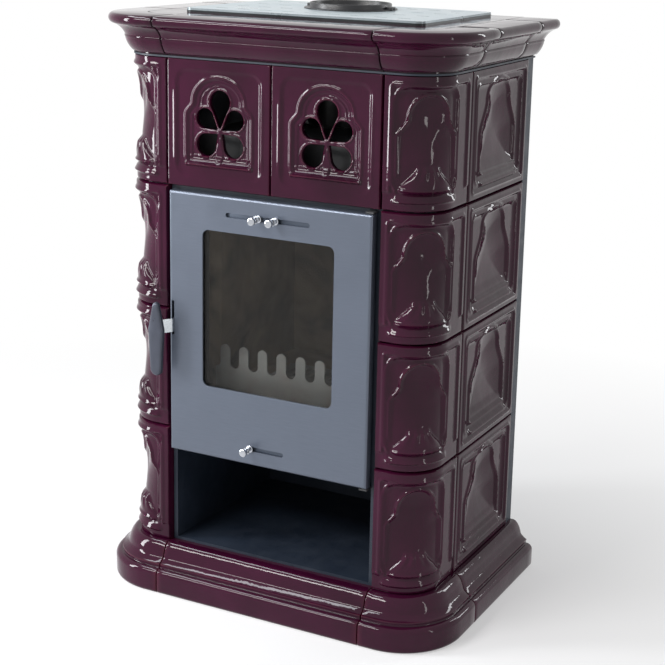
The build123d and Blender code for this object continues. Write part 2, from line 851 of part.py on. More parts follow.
def make_firebox():
    with BuildPart() as box:
        with BuildSketch(Plane.YZ.offset(-firebox_half)):
            add(firebox_profile())
        extrude(amount=2 * firebox_half)
        with BuildSketch(Plane.YZ.offset(-box_inner)):
            add(firebox_profile())
            offset(amount=-firebox_sheet, kind=Kind.INTERSECTION, mode=Mode.REPLACE)
        extrude(amount=2 * box_inner, mode=Mode.SUBTRACT)
        mouth = (-mouth_half, mouth_half)
        block(mouth, (frame_back, frame_back + firebox_sheet), (mouth_bottom, mouth_top), Mode.SUBTRACT)
        for side in (-1, 1):
            edges = sorted((side * (box_inner - bed_ledge), side * box_inner))
            block(edges, (frame_back, lining_back), (bed_bottom - firebox_sheet, bed_bottom))
        with BuildSketch(Plane.XY.offset(firebox_top - firebox_sheet)):
            with Locations((0, flue_y)):
                Circle(flue_bore)
        extrude(amount=firebox_sheet, mode=Mode.SUBTRACT)
    keep(box, "firebox")


def make_lining():
    """Firebrick: bed with the grate's seat, back wall, two side walls and a baffle."""
    inner = box_inner - running_gap
    brick_inner = inner - brick
    grate_y = (bed_front + lining_back - brick) / 2
    with BuildPart() as bed:
        block((-inner, inner), (bed_front, lining_back), (bed_bottom, bed_top))
        with BuildSketch(Plane.XY.offset(bed_top)):
            with Locations((0, grate_y)):
                Rectangle(grate_width + joint, grate_depth + joint)
        extrude(amount=-grate_thickness, mode=Mode.SUBTRACT)
        with BuildSketch(Plane.XY.offset(bed_bottom)):
            with Locations((0, grate_y)):
                Rectangle(grate_width - 2 * grate_lap, grate_depth - 2 * grate_lap)
        extrude(amount=bed_thickness, mode=Mode.SUBTRACT)
    keep(bed, "fire_bed")
    with BuildPart() as back:
        block((-inner, inner), (lining_back - brick, lining_back), (bed_top, lining_top))
    keep(back, "brick_back")
    with BuildPart() as wall:
        wall_front = fence_y + fence_foot + running_gap
        block((brick_inner, inner), (wall_front, lining_back - brick), (bed_top, lining_top))
    keep_mirrored(wall, "brick_side")
    with BuildPart() as baffle:
        block((-inner, inner), (frame_back + baffle_gap, lining_back), (lining_top, lining_top + baffle_thickness))
        chamfer(baffle.edges().filter_by(Axis.X).group_by(Axis.Y)[0], length=baffle_thickness / 3)
    keep(baffle, "baffle")
    with BuildPart() as grate:
        with BuildSketch(Plane.XY.offset(bed_top - grate_thickness)):
            with Locations((0, grate_y)):
                RectangleRounded(grate_width, grate_depth, grate_lap)
                count = int((grate_width - 2 * grate_lap) // (grate_bar + grate_slot))
                for row in (-1, 1):
                    with Locations((0, row * (grate_depth - 2 * grate_lap) / 4)):
                        with GridLocations(grate_bar + grate_slot, 1, count, 1):
                            SlotOverall(
                                grate_depth / 2 - 2 * grate_lap, grate_slot, rotation=90, mode=Mode.SUBTRACT
                            )
        extrude(amount=grate_thickness)
    keep(grate, "grate")


def make_log_retainer():
    """Comb fence at the front of the fire: round-topped fingers on a folded foot."""
    half = fence_half
    fence_pitch = 2 * half / finger_count
    finger = fence_pitch / 4
    root = fence_height - finger_height
    with BuildPart() as fence:
        with BuildSketch(Plane((0, fence_y, bed_top), x_dir=(1, 0, 0), z_dir=(0, -1, 0))):
            Rectangle(2 * half, root + finger, align=(Align.CENTER, Align.MIN))
            with Locations((0, root + (fence_height - root - finger) / 2)):
                with GridLocations(fence_pitch, 1, finger_count, 1):
                    Rectangle(2 * finger, fence_height - root - finger)
            with Locations((0, fence_height - finger)):
                with GridLocations(fence_pitch, 1, finger_count, 1):
                    Circle(finger)
            with Locations((0, root + finger)):
                with GridLocations(fence_pitch, 1, finger_count + 1, 1):
                    Circle(finger, mode=Mode.SUBTRACT)
        extrude(amount=-sheet)
        block((-half, half), (fence_y, fence_y + fence_foot), (bed_top, bed_top + sheet))
    keep(fence, "log_retainer")


def make_ash_drawer():
    """Open steel drawer under the grate, with a folded pull."""
    half = drawer_half
    top = drawer_floor + drawer_height
    rear = drawer_front + drawer_length
    with BuildPart() as drawer:
        block((-half, half), (drawer_front, rear), (drawer_floor, top))
        block(
            (drawer_sheet - half, half - drawer_sheet),
            (drawer_front + drawer_sheet, rear - drawer_sheet),
            (drawer_floor + drawer_sheet, top),
            Mode.SUBTRACT,
        )
        block(
            (-half / 3, half / 3),
            (drawer_front - drawer_pull, drawer_front),
            (top - 2 * drawer_sheet, top - drawer_sheet),
        )
        block(
            (-half / 3, half / 3),
            (drawer_front - drawer_pull, drawer_front - drawer_pull + drawer_sheet),
            (top - 2 * drawer_pull, top - drawer_sheet),
        )
    keep(drawer, "ash_drawer")


# ---- top ----
def make_top():
    """Vented top plate and the flue collar that stands through it."""
    middle = (top_front + top_back) / 2
    rows = int((top_plate_depth - 2 * vent_pitch_y) // vent_pitch_y)
    columns = int((top_plate_width - vent_pitch_x) // vent_pitch_x)
    keep_out = flue_flange / 2 + vent_length / 2
    with BuildPart() as plate:
        block((-top_plate_width / 2, top_plate_width / 2), (top_front, top_back), (cornice_top, top_level))
        fillet(plate.edges().filter_by(Axis.Z), radius=top_corner_radius)
        block(
            (joint - opening_half, opening_half - joint),
            (opening_front + joint, top_back - sheet),
            (cornice_top, top_level - sheet),
            Mode.SUBTRACT,
        )
        with BuildSketch(Plane.XY.offset(top_level - sheet)):
            with Locations((0, flue_y)):
                Circle(flue_radius + joint / 2)
            for place in GridLocations(vent_pitch_x, 2 * vent_pitch_y, columns, rows // 2 + 1):
                x, y = place.position.X, place.position.Y + middle
                if x**2 + (y - flue_y) ** 2 > keep_out**2:
                    with Locations((x, y)):
                        SlotOverall(vent_length, vent_width)
        extrude(amount=sheet, mode=Mode.SUBTRACT)
    keep(plate, "top_plate")
    with BuildPart() as collar:
        with BuildSketch(Plane.XY.offset(firebox_top)):
            with Locations((0, flue_y)):
                Circle(flue_radius)
        extrude(amount=top_level + flue_rise - firebox_top)
        for level, size in ((firebox_top, flue_flange), (top_level, flue_flange)):
            with BuildSketch(Plane.XY.offset(level)):
                with Locations((0, flue_y)):
                    Circle(size / 2)
            extrude(amount=flange_thickness)
        for side in (-1, 1):
            across = sorted((side * (flue_radius - flue_wall / 2), side * (flue_flange + flue_wall) / 2))
            block(across, (flue_y - lug_width / 2, flue_y + lug_width / 2), (top_level, top_level + lug_height))
        with BuildSketch(Plane.XY.offset(firebox_top)):
            with Locations((0, flue_y)):
                Circle(flue_bore)
        extrude(amount=top_level + flue_rise - firebox_top, mode=Mode.SUBTRACT)
    keep(collar, "flue_collar")


# ---- door ----
def window_sketch(grow):
    """The window's outline, larger all round by a distance, on the plane in use."""
    with Locations((0, window_middle)):
        RectangleRounded(2 * (window_half + grow), window_height + 2 * grow, window_radius)


def make_door_panel():
    """Pressed door tray with the window, both air slots, the handle slot and pivot bosses."""
    rail_gap = slide_height / 2 + running_gap
    with BuildPart() as panel:
        block((-door_half, door_half), (door_face, door_back), (door_bottom, door_top))
        fillet(panel.faces().sort_by(Axis.Y)[0].edges(), radius=door_edge_radius)
        inner = door_half - door_sheet
        block(
            (-inner, inner),
            (door_inner, door_back),
            (door_bottom + door_sheet, door_top - door_sheet),
            Mode.SUBTRACT,
        )
        with BuildSketch(Plane.XZ.offset(-door_face)):
            window_sketch(0)
            with Locations((0, air_z)):
                SlotOverall(air_slot_length, air_slot_height)
            with Locations((0, primary_z)):
                SlotOverall(primary_slot_length, air_slot_height)
            with Locations((lever_x, lever_foot - handle_slot_below)):
                Rectangle(handle_slot_width, handle_slot_height, align=(Align.CENTER, Align.MIN))
        extrude(amount=-door_sheet, mode=Mode.SUBTRACT)
        rail_runs = ((air_z, ring_half - ring_member - joint), (primary_z, primary_slide_length / 2 + primary_travel + joint))
        for level, half in rail_runs:
            for side in (-1, 1):
                inside, outside = level + side * rail_gap, level + side * (rail_gap + slide_rail)
                lip = inside - side * slide_rail
                block((-half, half), (door_inner, slide_back + running_gap), sorted((inside, outside)))
                block(
                    (-half, half),
                    (slide_back + running_gap, slide_back + running_gap + slide_rail),
                    sorted((lip, outside)),
                )
        boss = (door_half - door_sheet - boss_width, door_half - door_sheet)
        for low in (door_bottom + door_sheet, door_top - door_sheet - boss_height):
            block(boss, (door_inner, door_back), (low, low + boss_height))
        for start in (door_bottom, door_top - hinge_pin_length):
            with BuildSketch(Plane.XY.offset(start)):
                with Locations((hinge_x, hinge_y)):
                    Circle(hinge_pin_diameter / 2 + hinge_clearance)
            extrude(amount=hinge_pin_length, mode=Mode.SUBTRACT)
    keep(panel, "door_panel")


def make_hinges():
    """Upper and lower pivot plates on the front frame, each with its pin and washer."""
    plate_half = hinge_inset
    gap = joint / 2
    levels = (
        (door_bottom - gap - hinge_plate, door_bottom - gap, door_bottom + hinge_pin_length - joint),
        (door_top + gap + hinge_plate, door_top + gap, door_top - hinge_pin_length + joint),
    )
    with BuildPart() as hinges:
        for far, near, tip in levels:
            block(
                (hinge_x - plate_half, hinge_x + plate_half),
                (hinge_y - plate_half, frame_face),
                sorted((far, near)),
            )
            for radius, end in (
                (hinge_pin_diameter / 2, tip),
                (hinge_pin_diameter, near + (gap - running_gap) * (1 if tip > near else -1)),
            ):
                low, high = sorted((near, end))
                with BuildSketch(Plane.XY.offset(low)):
                    with Locations((hinge_x, hinge_y)):
                        Circle(min(radius, plate_half - joint / 2))
                extrude(amount=high - low)
    keep(hinges, "hinge_brackets")


def make_door_frame():
    """Channel frame inside the door and the rope seal seated in it."""
    low, high = door_bottom + ring_edge, door_top - ring_edge
    wall = (ring_member - rope_width) / 2
    channel = ring_depth - rope_width + joint

    def ring(out, width):
        half, foot, head = ring_half - out, low + out, high - out
        with Locations((0, (foot + head) / 2)):
            Rectangle(2 * half, head - foot)
            Rectangle(2 * (half - width), head - foot - 2 * width, mode=Mode.SUBTRACT)

    with BuildPart() as frame:
        with BuildSketch(Plane.XZ.offset(-door_inner)):
            ring(0, ring_member)
        extrude(amount=-ring_depth)
        with BuildSketch(Plane.XZ.offset(-door_inner - channel)):
            ring(wall, rope_width)
        extrude(amount=-ring_depth, mode=Mode.SUBTRACT)
    keep(frame, "door_inner_frame")
    with BuildPart() as rope:
        with BuildSketch(Plane.XZ.offset(-door_inner - channel)):
            ring(wall, rope_width)
        extrude(amount=-(frame_face - running_gap - door_inner - channel))
        chamfer(rope.faces().sort_by(Axis.Y)[-1].edges(), length=rope_width / 4)
    keep(rope, "door_rope_seal")


def make_glazing():
    """Ceramic glass, the tape under it, and four clips with their screws."""
    with BuildPart() as tape:
        with BuildSketch(Plane.XZ.offset(-door_inner)):
            window_sketch(glass_lap)
            window_sketch(glass_tape)
            with Locations((0, window_middle)):
                Rectangle(2 * window_half + glass_tape, window_height + glass_tape, mode=Mode.SUBTRACT)
        extrude(amount=-glass_tape)
    keep(tape, "glass_tape")
    with BuildPart() as glass:
        with BuildSketch(Plane.XZ.offset(-glass_front)):
            window_sketch(glass_lap)
        extrude(amount=-glass_thickness)
    keep(glass, "door_glass")
    clip_width = 2 * glass_lap
    clip_reach = window_half + glass_lap
    foot = clip_reach + joint
    with BuildPart() as clips:
        for side in (-1, 1):
            for level in (window_bottom + window_height / 5, window_bottom + 4 * window_height / 5):
                heights = (level - clip_width / 2, level + clip_width / 2)
                over = sorted((side * (clip_reach - glass_lap / 2), side * (foot + glass_lap / 2)))
                stand = sorted((side * foot, side * (foot + glass_lap / 2)))
                block(over, (glass_back, glass_back + liner), heights)
                block(stand, (door_inner, glass_back), heights)
    keep(clips, "glass_clips")


# ---- air slides ----
def spool_knob(x, z):
    """Turned knob on its stud: washer, neck, ring and rounded head, in front of the door."""
    stud = stud_diameter / 2
    neck = knob_neck_diameter / 2
    head = knob_head_diameter / 2
    ring = knob_ring_diameter / 2
    inner_end = slide_front - door_face
    washer_back = -knob_round
    washer_front = washer_back - knob_ring_width
    ring_front = -knob_length / 2
    ring_back = ring_front + knob_ring_width
    head_back = knob_head_length - knob_length
    with BuildPart() as knob:
        with BuildSketch(Plane((x, door_face, z), x_dir=(1, 0, 0), z_dir=(0, 0, 1))):
            with BuildLine():
                Polyline(
                    (0, inner_end),
                    (stud, inner_end),
                    (stud, washer_back),
                    (ring, washer_back),
                    (ring, washer_front),
                    (neck, washer_front),
                    (neck, ring_back),
                    (ring, ring_back),
                    (ring, ring_front),
                    (neck, ring_front),
                    (neck, head_back),
                    (head, head_back),
                )
                ThreePointArc(
                    (head, head_back), (head - knob_round, knob_round - knob_length), (neck, -knob_length)
                )
                Polyline((neck, -knob_length), (0, -knob_length), (0, inner_end))
            make_face()
        revolve(axis=Axis((x, 0, z), (0, 1, 0)), revolution_arc=360)
    return knob.part


def make_slides():
    """Two upper air shutters and the lower one, each with its knob through the door's slot."""
    shutters = (
        ("air_slide_left", -air_knob_offset, air_z, -air_slide_length / 2 - joint / 2, air_slide_length),
        ("air_slide_right", air_knob_offset, air_z, air_slide_length / 2 + joint / 2, air_slide_length),
        ("primary_slide", primary_knob_offset, primary_z, 0, primary_slide_length),
    )
    for name, knob_x, level, middle, length in shutters:
        with BuildPart() as slide:
            block(
                (middle - length / 2, middle + length / 2),
                (slide_front, slide_back),
                (level - slide_height / 2, level + slide_height / 2),
            )
            add(spool_knob(knob_x, level))
        keep(slide, name)


# ---- latch handle ----
def make_handle():
    """Flat lever through the door's slot with its hooked tail, grip, pivot and keeper."""
    with BuildPart() as lever:
        with BuildSketch(Plane.XY.offset(lever_foot)):
            with BuildLine():
                Polyline(
                    (lever_x, pivot_y + lever_height / 4),
                    (lever_x, door_face - lever_reach / 4),
                    (lever_x - lever_side_step / 3, bend_y),
                    (lever_end_x, bend_y),
                )
            trace(line_width=lever_thickness)
        extrude(amount=lever_height)
        sides = (lever_x - lever_thickness / 2, lever_x + lever_thickness / 2)
        tail_end = pivot_y + lever_tail
        tail_low = pivot_z - tail_height / 2
        block(sides, (pivot_y, tail_end), (tail_low, tail_low + tail_height))
        block(sides, (tail_end - tail_height, tail_end), (tail_low - tail_hook, tail_low))
        with BuildSketch(Plane.YZ.offset(sides[0])):
            with Locations((pivot_y, pivot_z)):
                Circle(pivot_diameter / 2 + pivot_clearance)
        extrude(amount=lever_thickness, mode=Mode.SUBTRACT)
    keep(lever, "handle_lever")

    with BuildPart() as grip:
        with BuildSketch(Plane((grip_x, grip_back, grip_middle), x_dir=(1, 0, 0), z_dir=(0, -1, 0))):
            for height, radius in (
                (grip_height / 2 - grip_top_radius, grip_top_radius),
                (grip_height / 8, grip_width / 2),
                (grip_foot_radius - grip_height / 2, grip_foot_radius),
            ):
                with Locations((0, height)):
                    Circle(radius)
            make_hull()
        extrude(amount=grip_thickness)
        fillet(grip.faces().sort_by(Axis.Y)[0].edges(), radius=grip_thickness / 4)
    keep(grip, "handle_grip")

    ear_gap = lever_thickness / 2 + running_gap
    ear = lever_height / 4
    with BuildPart() as pivot:
        for side in (-1, 1):
            edges = sorted((lever_x + side * ear_gap, lever_x + side * (ear_gap + pivot_ear)))
            block(edges, (door_inner, pivot_y + ear), (pivot_z - ear, pivot_z + ear))
        with BuildSketch(Plane.YZ.offset(lever_x - ear_gap - pivot_ear)):
            with Locations((pivot_y, pivot_z)):
                Circle(pivot_diameter / 2)
        extrude(amount=2 * (ear_gap + pivot_ear))
    keep(pivot, "handle_pivot")

    half = keeper_window_width / 2 + keeper_plate
    tail_low = pivot_z - tail_height / 2
    low, high = tail_low - tail_hook - joint, pivot_z + tail_height
    with BuildPart() as keeper:
        block(
            (lever_x - half, lever_x + half),
            (frame_back, frame_back + keeper_plate),
            (low - tail_height, high + keeper_plate),
        )
        block(
            (lever_x - keeper_window_width / 2, lever_x + keeper_window_width / 2),
            (frame_back, frame_back + keeper_plate),
            (low, high),
            Mode.SUBTRACT,
        )
    keep(keeper, "latch_keeper")


os.makedirs("parts", exist_ok=True)
make_tiles()
make_plinth()
make_cornice()
make_carcass()
make_front_frame()
make_back_panel()
make_cornice_plate()
make_log_store()
make_firebox()
make_lining()
make_log_retainer()
make_ash_drawer()
make_top()
make_door_panel()
make_hinges()
make_door_frame()
make_glazing()
make_slides()
make_handle()
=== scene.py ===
import bmesh
import bpy
import json
import numpy as np
from cmath import exp, phase
from math import ceil, cos, pi, radians, sin, tau
from mathutils import Matrix, Vector


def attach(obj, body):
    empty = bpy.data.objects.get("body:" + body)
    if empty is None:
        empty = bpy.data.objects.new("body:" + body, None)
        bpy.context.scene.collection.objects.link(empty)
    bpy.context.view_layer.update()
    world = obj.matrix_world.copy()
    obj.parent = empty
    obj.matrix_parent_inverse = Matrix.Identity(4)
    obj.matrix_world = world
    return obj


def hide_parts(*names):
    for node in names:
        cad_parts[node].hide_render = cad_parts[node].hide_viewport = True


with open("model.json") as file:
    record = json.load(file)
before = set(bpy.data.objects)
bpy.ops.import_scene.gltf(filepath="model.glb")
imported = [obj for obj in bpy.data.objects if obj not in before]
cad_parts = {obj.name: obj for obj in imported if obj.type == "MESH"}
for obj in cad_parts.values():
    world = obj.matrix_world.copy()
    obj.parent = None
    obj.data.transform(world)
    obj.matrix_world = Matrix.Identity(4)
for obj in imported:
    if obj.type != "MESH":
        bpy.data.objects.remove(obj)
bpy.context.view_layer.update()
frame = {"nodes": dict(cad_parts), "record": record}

bl_info = {
    "name": "Tiled Stove",
    "version": (1, 0, 0),
    "blender": (4, 5, 0),
    "location": "3D View > Sidebar > Tiled Stove",
    "description": "Dresses a tiled wood stove: glazed relief tiles, mouldings, door fittings and a studio",
    "category": "Object",
}

# Lengths in this file are millimetres unless a name says otherwise; MM turns them into metres.
MM = 0.001
FACE_Y, CASE_BACK = -182.5, 227.5
HALF_WIDTH, CORNER_R = 302.0, 70.0
ARC_X, ARC_Y = HALF_WIDTH - CORNER_R, FACE_Y + CORNER_R
# Where the rounded corner starts and ends, measured along the casing from the middle of its front.
ARC_START, ARC_END = ARC_X, ARC_X + CORNER_R * pi / 2
# Joints beside the door, behind the corner pieces, and between the cornice's side and rear runs.
JOINT = 2.0
SEAM_X, SIDE_SEAM, REAR_SEAM = 204.0, FACE_Y + 132.0, FACE_Y + 320.0
PLINTH_TOP, COURSE = 86.0, 220.0
TILE_H = COURSE - JOINT
SIDE_WIDTH, FRET_WIDTH = 251.0, 202.0
# How deep a tile reaches behind its face, how thick its edge is, and the height of the flower's middle in it.
TILE_DEPTH, TILE_RIM, HUB_Z = 45.0, 10.0, 98.0
CORNICE_TOP, LEDGE_THICK = 1034.0, 12.0
DOOR_FACE = -190.5
SLIDE_FRONT, SLIDE_BACK = -187.2, -185.2
LEVER_X = -188.5
FLUE_Y = 97.5
# The photograph's side and the place of the camera's axis in it, in pixels; the camera's own place in metres.
PHOTO_SIDE, AXIS_ACROSS, AXIS_DOWN = 665, 350, 270
CAMERA_PLACE = (1.2442, -2.3199, 1.2236)
CAMERA_TURNS = (27.045, 13.659, 1.282)
BODIES = {node: body for body, nodes in frame["record"]["behaviour"]["bodies"].items() for node in nodes}
SLOTS = {part["node"]: part["material_slot"] for part in frame["record"]["subparts"]}
FINISHES = {}


# ---- places on the casing ----
def on_casing(s, z, depth):
    """Points on the right half of the casing: s runs from the middle of the front round to the back."""
    s, z, depth = np.broadcast_arrays(np.asarray(s, float), np.asarray(z, float), np.asarray(depth, float))
    turn = np.clip((s - ARC_START) / CORNER_R, 0, pi / 2)
    out_x, out_y = np.sin(turn), -np.cos(turn)
    x = np.where(s < ARC_START, s, ARC_X + CORNER_R * out_x)
    y = np.where(s > ARC_END, ARC_Y + s - ARC_END, ARC_Y + CORNER_R * out_y)
    return np.stack([x - depth * out_x, y - depth * out_y, z], axis=-1)


def side_run(y):
    """Where along the casing a place on the right side lies."""
    return ARC_END + y - ARC_Y


# ---- meshes ----
def placed(name, data):
    """A new object in the scene."""
    thing = bpy.data.objects.new(name, data)
    bpy.context.scene.collection.objects.link(thing)
    return thing


def dressed(mesh, slot, node, smooth_angle, stands_in=True):
    """A piece of a mesh: it rides with a CAD node, stands in for it and wears a slot's finish."""
    mesh.shade_smooth()
    mesh.set_sharp_from_angle(angle=radians(smooth_angle))
    mesh.materials.append(FINISHES[slot])
    piece = placed(mesh.name, mesh)
    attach(piece, BODIES[node])
    if stands_in:
        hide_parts(node)
    return piece


def piece_from(name, points, faces, slot, node, smooth_angle=42.0):
    """A piece from points in millimetres."""
    mesh = bpy.data.meshes.new(name)
    mesh.from_pydata((np.asarray(points) * MM).tolist(), [], faces)
    mesh.validate()
    return dressed(mesh, slot, node, smooth_angle)


def piece_from_bmesh(name, bm, slot, node, smooth_angle=42.0, stands_in=True):
    """A piece from a bmesh in metres."""
    bmesh.ops.recalc_face_normals(bm, faces=bm.faces)
    mesh = bpy.data.meshes.new(name)
    bm.to_mesh(mesh)
    bm.free()
    return dressed(mesh, slot, node, smooth_angle, stands_in)


def mirrored(points, faces):
    """The left-hand twin of a right-hand piece."""
    return points * np.array([-1.0, 1.0, 1.0]), [face[::-1] for face in faces]


def joined(*parts):
    """Several sets of points and faces as one."""
    points, faces, offset = [], [], 0
    for part_points, part_faces in parts:
        points.append(part_points)
        faces += [[v + offset for v in face] for face in part_faces]
        offset += len(part_points)
    return np.concatenate(points), faces


def ring_faces(rings, count, closed=False):
    """Faces along numbered rings of count points each, on to the first ring again where closed."""
    faces = []
    for k in range(rings if closed else rings - 1):
        a, b = k * count, (k + 1) % rings * count
        faces += [[a + i, a + (i + 1) % count, b + (i + 1) % count, b + i] for i in range(count)]
    return faces


def pool_glaze_and_shade(piece, painted_shade_behind=None):
    """Store how hollow the surface is at each point: glaze pools in hollows and thins on edges. Points
    further back than a given depth get the deepest value, which is painted shade.
    """
    # A hollow of 4 mm radius counts in full, and each round spreads it to the next points.
    full_hollow, rounds = 0.004, 3
    mesh = piece.data
    count = len(mesh.vertices)
    place, normal = np.empty((count, 3)), np.empty((count, 3))
    mesh.vertices.foreach_get("co", place.ravel())
    mesh.vertices.foreach_get("normal", normal.ravel())
    ends = np.empty((len(mesh.edges), 2), int)
    mesh.edges.foreach_get("vertices", ends.ravel())
    a, b = ends.T
    step = place[b] - place[a]
    length = np.maximum((step**2).sum(1), 1e-9)
    total, tally = np.zeros(count), np.zeros(count)
    for end, sign in ((a, 1), (b, -1)):
        np.add.at(total, end, sign * (normal[end] * step).sum(1) / length)
        np.add.at(tally, end, 1)
    tally = np.maximum(tally, 1)
    hollow = np.clip(total / tally * full_hollow, -1, 1)
    for _ in range(rounds):
        spread = np.zeros(count)
        np.add.at(spread, a, hollow[b])
        np.add.at(spread, b, hollow[a])
        hollow = 0.5 * hollow + 0.5 * spread / tally
    value = 0.5 + 0.5 * hollow
    # painted shade: every point further back than the given depth takes the deepest glaze colour, darkening
    # the walls of the openings
    if painted_shade_behind is not None:
        value = np.where(place[:, 1] > painted_shade_behind * MM, 1.0, value)
    layer = mesh.attributes.new("pool_and_shade", "FLOAT", "POINT")
    layer.data.foreach_set("value", value)


def skin(bm, rings):
    """Faces from each closed ring of vertices to the next; a ring of one vertex is a tip."""
    for low, high in zip(rings, rings[1:]):
        for i in range(max(len(low), len(high))):
            corners = [ring[k % len(ring)] for ring, k in ((low, i), (low, i + 1), (high, i + 1), (high, i))]
            bm.faces.new(list(dict.fromkeys(corners)))


def turner(bm, centre, axis, segments):
    """A function that adds the ring of a radius and a level about an axis through a centre."""
    turn = Vector((0, 0, 1)).rotation_difference(Vector(axis)).to_matrix()

    def ring(radius, level, hexagon=False):
        verts = []
        for i in range(segments if radius else 1):
            angle = tau * i / segments
            reach = radius / cos(angle % (pi / 3) - pi / 6) * 0.93 if hexagon else radius
            place = turn @ Vector((reach * cos(angle), reach * sin(angle), level))
            verts.append(bm.verts.new((Vector(centre) + place) * MM))
        return verts

    return ring


def lathe(bm, profile, centre, axis, segments):
    """Turned form from (radius, level) points."""
    ring = turner(bm, centre, axis, segments)
    skin(bm, [ring(radius, level) for radius, level in profile])


def cap_screw(bm, centre, axis, radius, height):
    """Button-head screw with a hexagon socket half as wide."""
    ring = turner(bm, centre, axis, 24)
    sunk, socket = -0.3, radius * 0.5
    rings = [
        ring(radius, sunk), ring(radius, height * 0.4), ring(radius * 0.9, height * 0.75),
        ring(radius * 0.72, height), ring(socket, height, True), ring(socket, height * 0.35, True),
    ]
    skin(bm, rings)
    bm.faces.new(rings[-1])


def prism(bm, outline, to_space, thickness, bevel):
    """Plate from a flat outline; to_space turns (a, b, height) into a place."""
    low = [bm.verts.new(Vector(to_space(a, b, 0)) * MM) for a, b in outline]
    high = [bm.verts.new(Vector(to_space(a, b, thickness)) * MM) for a, b in outline]
    caps = [bm.faces.new(low[::-1]), bm.faces.new(high)]
    skin(bm, [low, high])
    edges = [edge for cap in caps for edge in cap.edges]
    bmesh.ops.bevel(bm, geom=edges, offset=bevel * MM, segments=3, affect="EDGES", profile=0.5)


def rectangle(low_a, high_a, low_b, high_b, *radius):
    """A rectangle's corners, anticlockwise, each with its radius where one is given."""
    corners = ((low_a, low_b), (high_a, low_b), (high_a, high_b), (low_a, high_b))
    return [(*corner, *radius) for corner in corners]


def arc_points(a, b, c, count):
    """Points on the circle from a through b to c."""
    a, b, c = (complex(*point) for point in (a, b, c))
    ratio = (c - a) / (b - a)
    centre = a + (b - a) * (ratio - abs(ratio) ** 2) / (2j * ratio.imag)
    middle, end = (phase((point - centre) / (a - centre)) % tau for point in (b, c))
    sweep = end if middle < end else end - tau
    points = [centre + (a - centre) * exp(1j * sweep * i / count) for i in range(count + 1)]
    return [(point.real, point.imag) for point in points]


def rounded_outline(corners, count=5):
    """Closed outline from (x, y, radius) corners, each turned through its radius."""
    points = []
    for i, (x, y, radius) in enumerate(corners):
        here = Vector((x, y))
        back = Vector(corners[i - 1][:2]) - here
        ahead = Vector(corners[(i + 1) % len(corners)][:2]) - here
        room = 0.49 * min(back.length, ahead.length)
        reach = min(radius / max(np.tan(back.angle(ahead) / 2), 1e-3), room)
        start, end = here + back.normalized() * reach, here + ahead.normalized() * reach
        for k in range(count + 1):
            t = k / count
            at = start * (1 - t) ** 2 + here * 2 * t * (1 - t) + end * t**2
            points.append((at.x, at.y))
    return points


# ---- relief ----
def ease(value, start, end):
    """0 before start, 1 after end, smooth between."""
    t = np.clip((value - start) / (end - start), 0, 1)
    return t * t * (3 - 2 * t)


def ridge(distance, half):
    """A rounded ridge, 1 at distance 0 and 0 beyond half."""
    return np.cos(np.clip(distance / half, -1, 1) * pi / 2) ** 2


def slope(z, top, run, height):
    """A face swelling outward from top down over run, rounded back under its foot."""
    fall = np.clip((top - z) / run, 0, 1)
    return height * (0.55 * fall + 0.45 * fall**2) * ease(z, top - run - 4.0, top - run)


def distance_to(u, z, outline):
    """Signed distance to a closed outline: negative inside."""
    points = np.asarray(outline, float)
    following = np.roll(points, -1, axis=0)
    best = np.full(u.shape, 1e9)
    inside = np.zeros(u.shape, bool)
    for (ax, az), (bx, bz) in zip(points, following):
        ex, ez = bx - ax, bz - az
        length = ex * ex + ez * ez
        if length < 1e-9:
            continue
        t = np.clip(((u - ax) * ex + (z - az) * ez) / length, 0, 1)
        best = np.minimum(best, (u - ax - t * ex) ** 2 + (z - az - t * ez) ** 2)
        if abs(ez) > 1e-9:
            inside ^= ((az > z) != (bz > z)) & (u < ax + (z - az) / ez * ex)
    return np.where(inside, -1, 1) * np.sqrt(best)


def soft_box(u, z, width, inset, radius):
    """Signed distance to a rounded rectangle set in from a tile's edges."""
    across = np.abs(u - width / 2) - (width / 2 - inset - radius)
    up = np.abs(z - TILE_H / 2) - (TILE_H / 2 - inset - radius)
    return np.minimum(np.maximum(across, up), 0) + np.hypot(np.maximum(across, 0), np.maximum(up, 0)) - radius


def lobed_outline(middle, foot, jamb, lobe, low, high, top, radius):
    """Arch with a narrow head: straight jambs, an S-shaped shoulder on each side and a round crown."""
    half = [(jamb - radius * (1 - sin(a)), foot + radius * (1 - cos(a))) for a in np.linspace(0, pi / 2, 7)]
    half += [(jamb + (lobe - jamb) * ease(t, 0, 1), low + (high - low) * t) for t in np.linspace(0, 1, 15)]
    half += [(lobe * cos(a), high + (top - high) * sin(a)) for a in np.linspace(0, pi / 2, 18)[1:]]
    return [(middle + x, z) for x, z in half] + [(middle - x, z) for x, z in half[-2::-1]]


def edge_round(u, z, width, radius):
    """How far a tile's face falls back towards its rounded edges."""
    inside = -soft_box(u, z, width, 0, radius)
    t = np.clip(inside / radius, 0, 1)
    return radius * (1 - np.sqrt(np.maximum(1 - (1 - t) ** 2, 0)))


def sunk_panel(u, z, width, border, depth):
    """Plain border with a bead along its inner edge, round a sunk panel."""
    panel = soft_box(u, z, width, border, 8)
    return depth * ease(-panel, -1, 7) - 2.1 * ridge(panel + 1.0, 5.2)


CORNER_START = SEAM_X + JOINT / 2
CORNER_WIDTH = side_run(SIDE_SEAM - JOINT / 2) - CORNER_START


